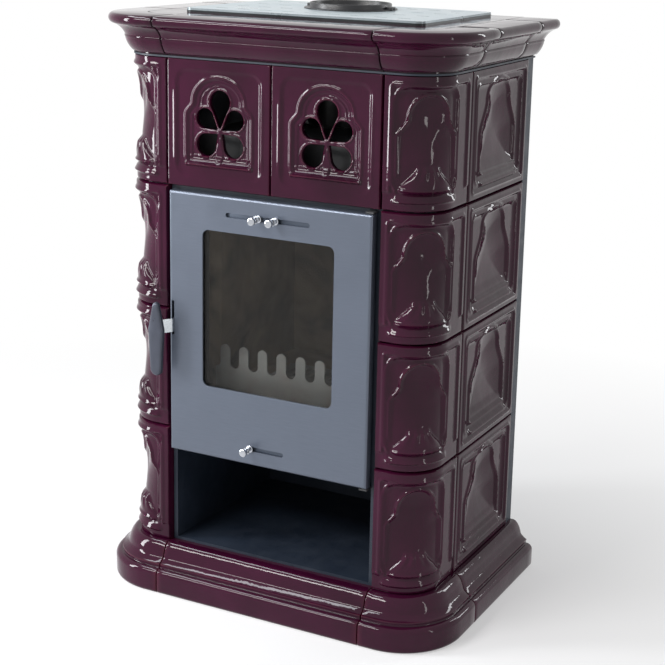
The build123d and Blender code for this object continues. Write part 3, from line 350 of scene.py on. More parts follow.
def corner_relief(u, z):
    """Depth of a corner tile's face: panel, funnel round a lobed niche, fluted hood and the roll under it."""
    middle = (ARC_START + ARC_END) / 2 - CORNER_START
    across = u - middle
    off = np.abs(across)
    edge = edge_round(u, z, CORNER_WIDTH, 3.5)
    depth = edge + sunk_panel(u, z, CORNER_WIDTH, 13, 1.8)
    funnel = rounded_outline([(-64, 27, 26), (64, 27, 26), (64, 201, 30), (-64, 201, 30)], 10)
    outer = distance_to(u, z, [(middle + x, y) for x, y in funnel])
    inner = distance_to(u, z, lobed_outline(middle, 33, 56, 38, 120, 148, 187, 22))
    depth += 5.0 * ease(-outer, -1, 12) - 2.6 * ridge(outer + 0.6, 4.6)
    heights = [40, 80, 95, 115, 131, 153, 170, 190]
    floor_depth = np.interp(z, heights, [9.0, 9.4, 11.0, 13.0, 15.0, 15.4, 14.4, 12.0])
    bowl = 0.12 * ease(-inner, 0, 4) + 0.88 * np.sin(np.clip(-inner / 48, 0, 1) * pi / 2)
    depth = depth + (floor_depth - 5.0) * bowl
    depth -= 3.6 * ridge(inner - 1.4, 5.2) * ease(z, 46, 64)
    half = np.interp(z, [30, 35, 40, 47, 55, 62, 68, 74], [58, 58, 53, 45, 36, 29.5, 26, 25])
    on_hood = ease(half - off, -2, 5) * (1 - ease(z, 64, 77))
    flutes = 0.9 * np.cos(tau * across / (0.46 * half)) * ease(z, 40, 60)
    hood = 0.6 + 2.6 * ease(z, 46, 70) + 4.6 * (off / half) ** 2.4 + flutes
    depth = depth * (1 - on_hood) + hood * on_hood
    under = ease(z, 27, 33)
    depth = np.where(z < 34, depth * under + (1 - under) * (edge + 1.8), depth)
    depth -= 2.6 * ridge(z - 34.5, 3.4) * ease(58 - off, 0, 10)
    depth += 2.6 * ridge(z - 28.0, 3.8) * ease(61 - off, 0, 12)
    depth -= slope(z, 26.5, 10.0, 4.7) * ease(68 - off, 0, 12)
    return depth


def side_relief(u, z):
    """Depth of a side tile's face: panel, funnel and a bowl-shaped lobed niche over a sloping sill."""
    middle = SIDE_WIDTH / 2
    depth = edge_round(u, z, SIDE_WIDTH, 3.5) + sunk_panel(u, z, SIDE_WIDTH, 12, 2.0)
    outer = soft_box(u, z, SIDE_WIDTH, 25, 14)
    depth += 3.6 * ease(-outer, -1, 12) - 1.8 * ridge(outer + 0.6, 3.6)
    inner = distance_to(u, z, lobed_outline(middle, 42, 76, 49, 104, 162, 196, 3))
    sill = ease(z, 43, 62)
    floor_depth = np.interp(z, [60, 110, 150, 196], [15.0, 16.5, 15.0, 11.0])
    bowl = 0.14 * ease(-inner, 0, 5) + 0.86 * np.sin(np.clip(-inner / 60, 0, 1) * pi / 2)
    depth = depth + (floor_depth * sill + 1.5 * (1 - sill) - 5.0) * bowl
    depth -= 3.0 * ridge(inner - 1.0, 5.6)
    foot = 4.2 * ridge(z - 40.5, 5.2) + slope(z, 31.0, 8.5, 5.0)
    depth -= foot * ease(82 - np.abs(u - middle), 0, 5)
    return depth


def hull(points):
    """Convex outline of a set of points, anticlockwise."""
    points = sorted(set(points))
    halves = []
    for run in (points, points[::-1]):
        side = []
        for p in run:
            while len(side) > 1:
                (ax, ay), (bx, by) = side[-2:]
                if (bx - ax) * (p[1] - ay) > (by - ay) * (p[0] - ax):
                    break
                side.pop()
            side.append(p)
        halves += side[:-1]
    return halves


def petal_outlines():
    """The flower's five openings about the tile's middle, from the same circles as the solid's."""
    middle, petals = FRET_WIDTH / 2, []
    circles = ((90, 50, 20), (36, 36, 17.5), (144, 36, 17.5), (-41.5, 35.5, 19.5), (221.5, 35.5, 19.5))
    for angle, reach, radius in circles:
        across, up = cos(radians(angle)), sin(radians(angle))
        petals.append(hull([
            (middle + far * across + r * cos(tau * k / 96), HUB_Z + far * up + r * sin(tau * k / 96))
            for far, r in ((8.5, 2.5), (reach, radius)) for k in range(96)
        ]))
    return petals


PETALS = petal_outlines()


def petal_distance(u, z):
    """Signed distance to the nearest petal: negative inside."""
    return np.minimum.reduce([distance_to(u, z, petal) for petal in PETALS])


def fret_relief(u, z):
    """Depth of a fretwork tile's face: double-ridged arch, sill, stem and rimmed petals."""
    middle = FRET_WIDTH / 2
    across = np.abs(u - middle)
    depth = edge_round(u, z, FRET_WIDTH, 3.0)
    panel = soft_box(u, z, FRET_WIDTH, 15, 24)
    depth += 3.0 * ease(-panel, -1, 10) * ease(z, 2, 44)
    depth -= 1.3 * ridge(panel + 1, 6.0) * ease(z, 24, 60) * (1 - ease(z, 150, 190))
    arch = distance_to(u, z, lobed_outline(middle, 40, 64, 50, 124, 146, 189, 2))
    above = ease(z, 44, 52)
    depth += 4.2 * ease(-arch, 0, 9)
    depth -= 1.9 * ridge(arch - 1.0, 5.4) * above
    depth -= 2.0 * ridge(arch + 8.5, 4.2) * above
    depth -= 1.6 * ridge(arch + 15.0, 2.4) * ease(z, 130, 150) * ease(u, middle - 6, middle + 8)
    petal = petal_distance(u, z)
    depth -= 1.7 * ridge(petal - 2.2, 3.0)
    leaf = across - 1.5 - 4.5 * ridge(z - 58, 20)
    depth -= 2.0 * (1 - ease(leaf, 0, 2.4)) * ease(HUB_Z - z, 0, 12) * ease(z, 42, 50)
    depth -= 2.6 * ridge(np.hypot(across, z - HUB_Z), 5.0)
    depth -= slope(z, 50.0, 10.0, 4.8) * ease(67 - across, 0, 3)
    depth -= 1.8 * ridge(z - 54.0, 3.2) * ease(60 - across, 0, 3)
    return depth


def relief_tile(width, relief, start, low, step, back=26.0, holes=None):
    """Closed tile: relief face, hollow back and rim, as points and faces."""
    nu, nz = int(round(width / step)) + 1, int(round(TILE_H / step)) + 1
    u, z = np.meshgrid(np.linspace(0, width, nu), np.linspace(0, TILE_H, nz), indexing="ij")
    solid = np.ones((nu - 1, nz - 1), bool)
    if holes is not None:
        gap = holes(u, z)
        near = gap < 0
        solid = ~(near[:-1, :-1] & near[1:, :-1] & near[1:, 1:] & near[:-1, 1:])
        du, dz = np.gradient(gap, width / (nu - 1), TILE_H / (nz - 1))
        size = np.maximum(np.hypot(du, dz), 1e-6)
        kept = np.zeros_like(near)
        for di in (0, 1):
            for dj in (0, 1):
                kept[di:nu - 1 + di, dj:nz - 1 + dj] |= solid
        snap = near & kept & (gap > -2 * step)
        u, z = np.where(snap, u - gap * du / size, u), np.where(snap, z - gap * dz / size, z)
    depths = (relief(u, z), back, TILE_DEPTH)
    points = np.concatenate([on_casing(start + u, low + z, depth).reshape(-1, 3) for depth in depths])
    front, behind, rear = np.arange(3 * nu * nz).reshape(3, nu, nz)
    rim = int(round(TILE_RIM / step))
    field = np.zeros_like(solid)
    field[rim:nu - 1 - rim, rim:nz - 1 - rim] = True

    def quads(layer, where):
        corners = (layer[:-1, :-1], layer[1:, :-1], layer[1:, 1:], layer[:-1, 1:])
        return np.stack([corner[where] for corner in corners], axis=1)

    def walls(top, bottom, where):
        """Walls round a set of cells, from one layer down to another, facing away from them."""
        found = []
        padded = np.pad(where, 1)
        neighbours = ((-1, 0, 0, 1, 0, 0), (1, 0, 1, 0, 1, 1), (0, -1, 0, 0, 1, 0), (0, 1, 1, 1, 0, 1))
        for di, dj, ai, aj, bi, bj in neighbours:
            other = padded[1 + di:1 + di + where.shape[0], 1 + dj:1 + dj + where.shape[1]]
            i, j = np.nonzero(where & ~other)
            a, b = (i + ai, j + aj), (i + bi, j + bj)
            found.append(np.stack([top[b], top[a], bottom[a], bottom[b]], axis=1))
        return np.concatenate(found)

    faces = np.concatenate([
        quads(front, solid), quads(behind, solid & field)[:, ::-1], quads(rear, ~field)[:, ::-1],
        walls(front, behind, ~solid)[:, ::-1], walls(front, rear, np.ones_like(solid)),
        walls(behind, rear, field),
    ])
    used, faces = np.unique(faces, return_inverse=True)
    return points[used], faces.reshape(-1, 4).tolist()


# ---- mouldings ----
def plinth_profile():
    """Plinth outline: reach in front of the tile face against height."""
    sweep = [(9.2, 84.6), (11.4, 82.6), (13.6, 80.0), (15.8, 76.6), (17.6, 72.8), (19.2, 68.4), (20.4, 64.0),
             (21.2, 61.4), (22.6, 59.4), (24.8, 57.3), (27.2, 55.2), (29.8, 53.2), (31.6, 52.2)]
    nose = arc_points((34, 44.1), (41.8, 41.2), (45, 34), 12)
    top = [(-24, 86), (4, 86), (6.4, 85.8)]
    low = [(45, 7), (44.6, 4.4), (43.4, 1.8), (41.2, 0)]
    return top + sweep + [(32.8, 51.8), (33.2, 50.4), (32.4, 48), (32.6, 45.4), (33.2, 44.3)] + nose + low + [
        (21, 0), (21, 38), (-4, 62), (-24, 74)]


def cornice_profile():
    """Cornice outline: recessed foot, bead, narrow frieze, cove and rolled rim."""
    heel, low, base, top = -25.0, 967.0, 970.0, CORNICE_TOP
    bead = arc_points((5, base + 0.6), (13, base + 11.5), (17, base + 23), 12)
    cove = arc_points((17, base + 27), (25.5, 1008.5), (38, 1016), 12)
    rim = arc_points((38, 1016), (45, 1025), (38, top), 16)
    foot, frieze = [(-2, low), (-2, base), (4.2, base)], [(17.8, base + 24), (17.8, base + 26)]
    seat = (heel, top - LEDGE_THICK)  # set twice, so that the shading of the end faces stays even
    return foot + bead + frieze + cove + rim[1:] + [(heel, top), seat, seat, (heel, low)]


def swept(profile, start, end):
    """A moulding run between two places along the casing, its ends slightly rounded."""
    round_off = 1.3
    bend = [s for s in np.linspace(ARC_START, ARC_END, 41) if start + round_off + 1 < s < end - round_off - 1]
    straight = [s for s in np.arange(start + 12, end - 11, 20.0) if not ARC_START - 1 < s < ARC_END + 1]
    lead = (0, 0.35 * round_off, round_off)
    stations = [start + s for s in lead] + sorted(bend + straight) + [end - s for s in lead[::-1]]
    end_cuts = [0.8, 0.3, 0]
    cuts = end_cuts + [0] * (len(stations) - 2 * len(lead)) + end_cuts[::-1]
    across, up = np.array(profile).T
    rings = []
    for s, cut in zip(stations, cuts):
        reach = np.where(across > 0, across - cut, across)
        height = np.where(up > CORNICE_TOP - 0.5, up - cut, up)
        rings.append(on_casing(s, height, -reach))
    points, count = np.concatenate(rings), len(across)
    ends = [list(range(count))[::-1], list(range(len(points) - count, len(points)))]
    return points, ring_faces(len(stations), count) + ends


def ledge(outline):
    """Flat ledge that closes the top of a cornice run inwards, from its plan outline."""
    count = len(outline)
    points = np.array([(x, y, z) for z in (CORNICE_TOP - LEDGE_THICK, CORNICE_TOP) for x, y in outline])
    return points, [list(range(count))[::-1], list(range(count, 2 * count))] + ring_faces(2, count)


# ---- finishes ----
def shade(colour, factor):
    """A colour made darker or lighter."""
    return tuple(min(1, factor * level) for level in colour)


class Nodes:
    """Adds nodes to a tree and links them."""

    def __init__(self, tree):
        self.tree = tree

    def add(self, kind, **settings):
        node = self.tree.nodes.new(kind)
        for key, value in settings.items():
            setattr(node, key, value)
        return node

    def put(self, source, target):
        self.tree.links.new(source, target)

    def feed(self, socket, value):
        """Link a socket to an output, or set it to a number or a colour."""
        if isinstance(value, bpy.types.NodeSocket):
            self.put(value, socket)
        else:
            socket.default_value = (*value, 1) if isinstance(value, tuple) else value

    def mix(self, factor, first, second):
        node = self.add("ShaderNodeMix", data_type="RGBA")
        for index, value in ((0, factor), (6, first), (7, second)):
            self.feed(node.inputs[index], value)
        return node.outputs[2]

    def maths(self, operation, first, second=0.0):
        node = self.add("ShaderNodeMath", operation=operation)
        self.feed(node.inputs[0], first)
        self.feed(node.inputs[1], second)
        return node.outputs[0]

    def seen(self):
        """1 for what the camera sees itself, mirrored or through glass, and 0 for light falling on things."""
        rays = self.add("ShaderNodeLightPath").outputs
        seen = self.maths("MAXIMUM", rays["Is Camera Ray"], rays["Is Glossy Ray"])
        return self.maths("MAXIMUM", seen, rays["Is Transmission Ray"])


class Finish(Nodes):
    """A node material built step by step round one Principled shader."""

    def __init__(self, name, **sockets):
        self.material = bpy.data.materials.new(name)
        self.material.use_nodes = True
        super().__init__(self.material.node_tree)
        self.shader = self.tree.nodes["Principled BSDF"]
        self.spaces = self.add("ShaderNodeTexCoord")
        self.place = self.spaces.outputs["Object"]
        for socket, value in sockets.items():
            self.shader.inputs[socket.replace("_", " ")].default_value = value

    def stretched(self, x, y, z):
        mapping = self.add("ShaderNodeMapping")
        mapping.inputs["Scale"].default_value = (x, y, z)
        self.put(self.place, mapping.inputs["Vector"])
        return mapping.outputs["Vector"]

    def noise(self, scale, detail=2.0, roughness=0.5, along=None, distortion=0.0):
        node = self.add("ShaderNodeTexNoise")
        levels = {"Scale": scale, "Detail": detail, "Roughness": roughness, "Distortion": distortion}
        for socket, level in levels.items():
            node.inputs[socket].default_value = level
        self.put(along or self.place, node.inputs["Vector"])
        return node.outputs["Fac"]

    def ramp(self, value, *stops):
        node = self.add("ShaderNodeValToRGB")
        while len(node.color_ramp.elements) < len(stops):
            node.color_ramp.elements.new(0.5)
        for element, (position, colour) in zip(node.color_ramp.elements, stops):
            element.position = position
            element.color = (*colour, 1)
        self.put(value, node.inputs["Fac"])
        return node.outputs["Color"]

    def grey(self, value, *stops):
        return self.ramp(value, *[(position, (level, level, level)) for position, level in stops])

    def over(self, body, colour, value, *stops):
        """Lay a colour over the body as strongly as the stops say of a value."""
        return self.mix(self.grey(value, *stops), body, colour)

    def axis(self, letter, space="Object"):
        node = self.add("ShaderNodeSeparateXYZ")
        self.put(self.spaces.outputs[space], node.inputs[0])
        return node.outputs[letter]

    def colour(self, source):
        self.put(source, self.shader.inputs["Base Color"])

    def rough(self, value, *stops):
        self.put(self.grey(value, *stops), self.shader.inputs["Roughness"])

    def bump(self, height, strength, distance):
        node = self.add("ShaderNodeBump")
        node.inputs["Strength"].default_value = strength
        node.inputs["Distance"].default_value = distance
        self.put(height, node.inputs["Height"])
        for previous in self.shader.inputs["Normal"].links:
            self.put(previous.from_socket, node.inputs["Normal"])
        self.put(node.outputs["Normal"], self.shader.inputs["Normal"])


def glaze_finish(colour, edge):
    """Deep gloss glaze: pooled dark in hollows, thin and redder on edges, with a slow wobble; its darkest
    colour also paints shade into the fret tiles' openings.
    """
    finish = Finish("Burgundy glaze", Specular_IOR_Level=0.22, IOR=1.5)
    # the darkest colour serves both the glaze pooled in hollows and the painted shade behind the fret tiles'
    # face
    deep_pool_and_shade = shade(colour, 0.35)
    pool_and_shade = finish.add("ShaderNodeAttribute", attribute_name="pool_and_shade").outputs["Fac"]
    body = finish.ramp(pool_and_shade, (0.28, edge), (0.42, colour), (0.56, colour), (0.75, deep_pool_and_shade))
    body = finish.over(body, deep_pool_and_shade, finish.noise(7, 3, 0.55), (0.35, 0.0), (0.72, 0.7))
    warm = finish.noise(4.2, 2, 0.5, finish.stretched(1, 1, 0.5))
    body = finish.over(body, shade(colour, 1.4), warm, (0.5, 0.0), (0.78, 0.6))
    finish.colour(finish.over(body, edge, finish.noise(420, 2, 0.6), (0.64, 0.0), (0.76, 0.25)))
    finish.rough(finish.noise(30, 2), (0.3, 0.03), (0.7, 0.065))
    finish.bump(finish.noise(24, 1.5, 0.4), 0.17, 0.004)
    finish.bump(finish.noise(150, 1, 0.4), 0.08, 0.0015)
    return finish.material


def door_finish(colour):
    """Satin blue-grey metallic paint with a fine horizontal brush under it and handling marks."""
    finish = Finish(
        "Door paint", Metallic=0.55, Specular_IOR_Level=0.5, Coat_Weight=0.25, Coat_Roughness=0.25)
    grain = finish.noise(90, 4, 0.7, finish.stretched(0.35, 1, 22))
    body = finish.over(shade(colour, 0.90), shade(colour, 1.08), grain, (0.35, 0.0), (0.65, 1.0))
    finish.colour(finish.over(body, colour, finish.noise(4.5, 3, 0.6), (0.35, 0.0), (0.75, 0.5)))
    finish.rough(finish.noise(14, 4, 0.6), (0.3, 0.30), (0.7, 0.42))
    finish.bump(grain, 0.02, 0.0005)
    return finish.material


def painted_finish(name, colour, roughness=0.55, metallic=0.0, grain=700.0):
    """Baked paint on sheet steel: fine texture, dusty variation and slight wear."""
    finish = Finish(name, Metallic=metallic, Specular_IOR_Level=0.45)
    light = tuple(min(1, level * 1.5 + 0.01) for level in colour)
    finish.colour(finish.over(colour, light, finish.noise(11, 4, 0.6), (0.4, 0.0), (0.75, 0.6)))
    finish.rough(finish.noise(40, 3), (0.3, roughness - 0.07), (0.7, roughness + 0.09))
    finish.bump(finish.noise(grain, 2, 0.6), 0.12, 0.0008)
    return finish.material


def top_finish(colour):
    """Satin grey plate, rubbed lighter in streaks by wiping; its upright sides carry painted shade, near
    black in their lower part and lighter above.
    """
    finish = Finish("Top plate paint", Metallic=0.5, Specular_IOR_Level=0.5)
    grain = finish.noise(60, 4, 0.65, finish.stretched(1, 9, 1))
    body = finish.over(colour, shade(colour, 1.3), grain, (0.35, 0.0), (0.7, 0.7))
    # painted shade: upright faces are darkened towards 5% of the plate colour, fully in the plate's lower
    # part and by 40% in its upper part, so that the edge reads as a dark shadow line
    side = finish.grey(finish.maths("ABSOLUTE", finish.axis("Z", "Normal")), (0.3, 1.0), (0.7, 0.0))
    low = finish.grey(finish.axis("Z", "Generated"), (0.45, 1.0), (0.55, 0.4))
    finish.colour(finish.mix(finish.maths("MULTIPLY", side, low), body, shade(colour, 0.05)))
    finish.rough(finish.noise(16, 3), (0.3, 0.26), (0.7, 0.4))
    finish.bump(finish.noise(500, 2), 0.06, 0.0006)
    return finish.material


def fireclay_finish(colour):
    """Rough pressed brick, sooted in clouds, with grit and hairline crazing."""
    finish = Finish("Fireclay", Specular_IOR_Level=0.25)
    soot = (0.035, 0.031, 0.028)
    body = finish.over(colour, soot, finish.noise(7, 5, 0.65, None, 0.6), (0.35, 0.1), (0.66, 0.92))
    grit = finish.noise(260, 4, 0.7)
    finish.colour(finish.over(body, shade(colour, 0.55), grit, (0.5, 0.0), (0.75, 0.5)))
    finish.rough(grit, (0.3, 0.82), (0.7, 0.95))
    finish.bump(grit, 0.4, 0.002)
    crazing = finish.add("ShaderNodeTexVoronoi", feature="DISTANCE_TO_EDGE")
    crazing.inputs["Scale"].default_value = 24
    finish.put(finish.place, crazing.inputs["Vector"])
    finish.bump(crazing.outputs["Distance"], 0.08, 0.001)
    return finish.material


def cast_finish(colour):
    """Bare cast iron gone grey with heat: pitted, with a little rust bloom."""
    finish = Finish("Cast iron", Metallic=0.75, Specular_IOR_Level=0.5)
    rust = (0.19, 0.12, 0.085)
    finish.colour(finish.over(colour, rust, finish.noise(18, 5, 0.6), (0.48, 0.0), (0.78, 0.55)))
    finish.rough(finish.noise(60, 4), (0.3, 0.42), (0.7, 0.62))
    finish.bump(finish.noise(380, 3, 0.7), 0.35, 0.0012)
    return finish.material


def zinc_finish(colour):
    """Zinc-plated steel with drawn grain."""
    finish = Finish("Zinc plate", Metallic=1.0)
    grain = finish.noise(220, 3, 0.6, finish.stretched(1, 1, 30))
    finish.colour(finish.over(shade(colour, 0.8), colour, grain, (0.3, 0.0), (0.7, 1.0)))
    finish.rough(grain, (0.3, 0.2), (0.7, 0.34))
    finish.bump(grain, 0.05, 0.0004)
    return finish.material


def chrome_finish(colour):
    """Polished chrome knobs with faint finger haze; the plates behind the door skin are blackened."""
    finish = Finish("Chrome", Metallic=1.0)
    haze = finish.noise(90, 3, 0.6)
    bright = finish.over(colour, shade(colour, 0.86), haze, (0.4, 0.0), (0.8, 0.5))
    # A ramp takes 0 to 1, so the distance in front of the middle, in metres, is multiplied by 5.
    behind = finish.grey(finish.maths("MULTIPLY", finish.axis("Y"), -5.0), (0.943, 1.0), (0.946, 0.0))
    blackened, dull = (0.085, 0.1, 0.128), (0.45, 0.45, 0.45)
    finish.colour(finish.mix(behind, bright, blackened))
    gloss = finish.mix(behind, finish.grey(haze, (0.35, 0.05), (0.75, 0.16)), dull)
    finish.put(gloss, finish.shader.inputs["Roughness"])
    return finish.material


def rope_finish():
    """Braided glass-fibre rope, grey with loose pale fibres."""
    finish = Finish("Glass fibre rope", Specular_IOR_Level=0.2, Sheen_Weight=0.3, Sheen_Roughness=0.5)
    fibre = finish.noise(900, 3, 0.7)
    finish.colour(finish.ramp(fibre, (0.3, (0.07, 0.07, 0.072)), (0.7, (0.26, 0.26, 0.25))))
    finish.rough(fibre, (0.3, 0.85), (0.7, 0.95))
    finish.bump(fibre, 0.5, 0.0008)
    return finish.material


def glass_finish():
    """Ceramic fire glass, faintly smoked, with a light haze of ash."""
    finish = Finish("Fire glass", Transmission_Weight=1.0, IOR=1.28)
    haze = finish.noise(6, 4, 0.6)
    finish.colour(finish.ramp(haze, (0.3, (0.62, 0.6, 0.57)), (0.75, (0.74, 0.73, 0.71))))
    finish.rough(haze, (0.4, 0.0), (0.8, 0.015))
    return finish.material


def floor_material():
    """Pale matt floor: it keeps the shadow near the stove and turns into the white background further out."""
    finish = Finish("Pale floor", Specular_IOR_Level=0.1)
    tone = finish.noise(3, 2)
    finish.colour(finish.ramp(tone, (0.3, (0.90, 0.90, 0.905)), (0.7, (0.93, 0.93, 0.933))))
    finish.rough(tone, (0.3, 0.75), (0.7, 0.85))
    reach = finish.add("ShaderNodeVectorMath", operation="LENGTH")
    finish.put(finish.place, reach.inputs[0])
    away = finish.grey(finish.maths("MULTIPLY", reach.outputs["Value"], 0.25), (0.08, 0.35), (0.42, 1.0))
    white = finish.add("ShaderNodeEmission")
    blend = finish.add("ShaderNodeMixShader")
    finish.put(finish.maths("MULTIPLY", finish.seen(), away), blend.inputs[0])
    finish.put(finish.shader.outputs[0], blend.inputs[1])
    finish.put(white.outputs[0], blend.inputs[2])
    finish.put(blend.outputs[0], finish.tree.nodes["Material Output"].inputs["Surface"])
    return finish.material


# ---- sizes and colours a user would change ----
COLOUR = {"subtype": "COLOR", "size": 3, "min": 0, "max": 1}
POWER = {"unit": "POWER", "min": 0}


class StoveColours(bpy.types.PropertyGroup):
    glaze: bpy.props.FloatVectorProperty(
        name="Glaze", description="Body colour of the tile glaze", default=(0.038, 0.0032, 0.0185), **COLOUR)
    glaze_edge: bpy.props.FloatVectorProperty(
        name="Glaze edge", description="Colour where the glaze runs thin on an edge",
        default=(0.080, 0.010, 0.026), **COLOUR)
    door: bpy.props.FloatVectorProperty(
        name="Door", description="Colour of the fire door", default=(0.106, 0.125, 0.164), **COLOUR)
    frame: bpy.props.FloatVectorProperty(
        name="Carcass", description="Colour of the steel behind the tiles",
        default=(0.010, 0.016, 0.028), **COLOUR)
    top: bpy.props.FloatVectorProperty(
        name="Top plate", description="Colour of the vented top plate", default=(0.42, 0.49, 0.52), **COLOUR)
    fireclay: bpy.props.FloatVectorProperty(
        name="Fireclay", description="Colour of the clean firebricks", default=(0.36, 0.29, 0.21), **COLOUR)


class StoveSizes(bpy.types.PropertyGroup):
    relief_step: bpy.props.FloatProperty(
        name="Relief step", description="Spacing of the points across a tile's relief",
        unit="LENGTH", min=0.001, max=0.01, default=0.002)
    grip_thickness: bpy.props.FloatProperty(
        name="Grip thickness", description="Thickness of the latch handle's grip", unit="LENGTH", min=0.003,
        max=0.008, default=0.008)
    rope_radius: bpy.props.FloatProperty(
        name="Rope radius", description="Half the width of the door's rope seal", unit="LENGTH", min=0.003,
        max=0.005, default=0.0048)


class StudioSettings(bpy.types.PropertyGroup):
    key_power: bpy.props.FloatProperty(
        name="Key", description="Power of the long lamp at the front left", default=54, **POWER)
    top_power: bpy.props.FloatProperty(
        name="Overhead bar", description="Power of the long lamp overhead", default=42, **POWER)
    left_power: bpy.props.FloatProperty(
        name="Left window", description="Power of the tall lamp on the left", default=76, **POWER)
    right_power: bpy.props.FloatProperty(
        name="Right strip", description="Power of the tall lamp on the right", default=8, **POWER)
    rear_power: bpy.props.FloatProperty(
        name="Rear strip", description="Power of the tall lamp behind on the right", default=24, **POWER)
    ambient: bpy.props.FloatProperty(
        name="Ambient", description="Strength of the even light from all round", min=0, default=0.26)
    focal_length: bpy.props.FloatProperty(
        name="Focal length", description="Lens of the camera", unit="CAMERA", min=10, default=81.787)


# ---- operators ----
class STOVE_OT_finishes(bpy.types.Operator):
    """Make every finish and give the carried-over solids theirs"""
    bl_idname = "stove.finishes"
    bl_label = "Finishes"

    def execute(self, context):
        colours = context.scene.stove_colours
        FINISHES.update({
            "glaze": glaze_finish(tuple(colours.glaze), tuple(colours.glaze_edge)),
            "frame_steel": painted_finish("Carcass paint", tuple(colours.frame), 0.5),
            "firebox_steel": painted_finish("Heat-resistant black", (0.028, 0.029, 0.031), 0.6),
            "fireclay": fireclay_finish(tuple(colours.fireclay)),
            "cast": cast_finish((0.30, 0.32, 0.33)),
            "top_steel": top_finish(tuple(colours.top)),
            "flue_enamel": painted_finish("Collar enamel", (0.014, 0.014, 0.016), 0.35),
            "door_steel": door_finish(tuple(colours.door)),
            "rope": rope_finish(),
            "glass": glass_finish(),
            "zinc": zinc_finish((0.62, 0.66, 0.70)),
            "grip_metal": painted_finish("Grip paint", (0.050, 0.056, 0.076), 0.34, 0.4, 1200.0),
            "chrome": chrome_finish((0.50, 0.52, 0.56)),
        })
        for name, node in frame["nodes"].items():
            node.data.materials.clear()
            node.data.materials.append(FINISHES[SLOTS[name]])
        return {"FINISHED"}


def lay_tiles(
        context, stem, courses, width, relief, start, low=PLINTH_TOP, fineness=1.0, painted_shade_behind=None, **form):
    """Make the tiles of one kind in each of their courses, on the right and mirrored on the left."""
    step = fineness * context.scene.stove_sizes.relief_step / MM
    right = relief_tile(width, relief, start, low, step, **form)
    for side, (points, faces) in (("right", right), ("left", mirrored(*right))):
        for course in range(courses):
            node = f"{stem}_{course + 1}_{side}" if courses > 1 else f"{stem}_{side}"
            lifted = points + np.array([0, 0, course * COURSE])
            pool_glaze_and_shade(piece_from(f"relief_{node}", lifted, faces, "glaze", node), painted_shade_behind)


class STOVE_OT_corner_tiles(bpy.types.Operator):
    """Make the corner tiles with their sloping niches and moulded feet"""
    bl_idname = "stove.corner_tiles"
    bl_label = "Corner tiles"

    def execute(self, context):
        lay_tiles(context, "corner_tile", 4, CORNER_WIDTH, corner_relief, CORNER_START)
        return {"FINISHED"}


class STOVE_OT_side_tiles(bpy.types.Operator):
    """Make the side tiles with their arched niches"""
    bl_idname = "stove.side_tiles"
    bl_label = "Side tiles"

    def execute(self, context):
        lay_tiles(context, "side_tile", 4, SIDE_WIDTH, side_relief, side_run(SIDE_SEAM + JOINT / 2))
        return {"FINISHED"}


class STOVE_OT_fret_tiles(bpy.types.Operator):
    """Make the two pierced flower tiles over the door"""
    bl_idname = "stove.fret_tiles"
    bl_label = "Fretwork tiles"

    def execute(self, context):
        # painted shade: surfaces more than 9 mm behind the tile face, the walls of the flower's openings,
        # take the deepest glaze colour
        lay_tiles(
            context, "fret_tile", 1, FRET_WIDTH, fret_relief, JOINT / 2, low=PLINTH_TOP + 3 * COURSE,
            fineness=0.75, painted_shade_behind=FACE_Y + 9, back=15.0, holes=petal_distance)
        return {"FINISHED"}


class STOVE_OT_mouldings(bpy.types.Operator):
    """Make the plinth and the cornice"""
    bl_idname = "stove.mouldings"
    bl_label = "Plinth and cornice"

    def execute(self, context):
        half = JOINT / 2
        seam, back = SEAM_X + half, side_run(CASE_BACK)
        corner_end, side_start, side_end, rear_start = (
            side_run(y) for y in (SIDE_SEAM - half, SIDE_SEAM + half, REAR_SEAM - half, REAR_SEAM + half))
        # The ledges fill the cornice in from its heel, 23 mm inside the casing, to the edge of the top plate.
        heel, plate_side, plate_front = 23.0, 220.0, -84.5
        inner, heel_y, turn_r = HALF_WIDTH - heel, FACE_Y + heel, CORNER_R - heel
        turn = [(ARC_X + turn_r * cos(a), ARC_Y + turn_r * sin(a)) for a in np.linspace(-pi / 2, 0, 17)]
        corner_ledge = ledge(turn + [
            (inner, SIDE_SEAM - half), (plate_side, SIDE_SEAM - half), (plate_side, plate_front),
            (seam, plate_front), (seam, heel_y),
        ])
        side_ledge = ledge(rectangle(plate_side, inner, SIDE_SEAM + half, REAR_SEAM - half))
        rear_ledge = ledge(rectangle(plate_side, inner, REAR_SEAM + half, CASE_BACK))
        front_ledge = ledge(rectangle(JOINT - seam, seam - JOINT, heel_y, plate_front))
        plinth, cornice = plinth_profile(), cornice_profile()
        paired = {
            "plinth_corner": swept(plinth, seam, corner_end),
            "plinth_side": swept(plinth, side_start, back),
            "cornice_corner": joined(swept(cornice, seam, corner_end), corner_ledge),
            "cornice_side": joined(swept(cornice, side_start, side_end), side_ledge),
            "cornice_rear": joined(swept(cornice, rear_start, back), rear_ledge),
        }
        runs = {f"{stem}_right": run for stem, run in paired.items()}
        runs.update({f"{stem}_left": mirrored(*run) for stem, run in paired.items()})
        runs["plinth_front"] = swept(plinth, JOINT - seam, seam - JOINT)
        runs["cornice_front"] = joined(swept(cornice, JOINT - seam, seam - JOINT), front_ledge)
        for node, (points, faces) in runs.items():
            pool_glaze_and_shade(piece_from(f"moulded_{node}", points, faces, "glaze", node, 50.0))
        return {"FINISHED"}


def leaf_ring(bm, outline, scale, y):
    """A ring of vertices in the shape of the grip's outline, drawn in towards its middle line."""
    x, middle, widest = -208.25, 475.5, 15.5
    inset = (1 - scale) * widest
    ring = []
    for across, up in outline:
        length = Vector((across, (up - middle) * 0.28)).length
        keep = max(length - inset, 0.2) / length
        height = middle + (up - middle) * (1 - (1 - keep) * 0.35)
        ring.append(bm.verts.new(Vector((x + across * keep, y, height)) * MM))
    return ring


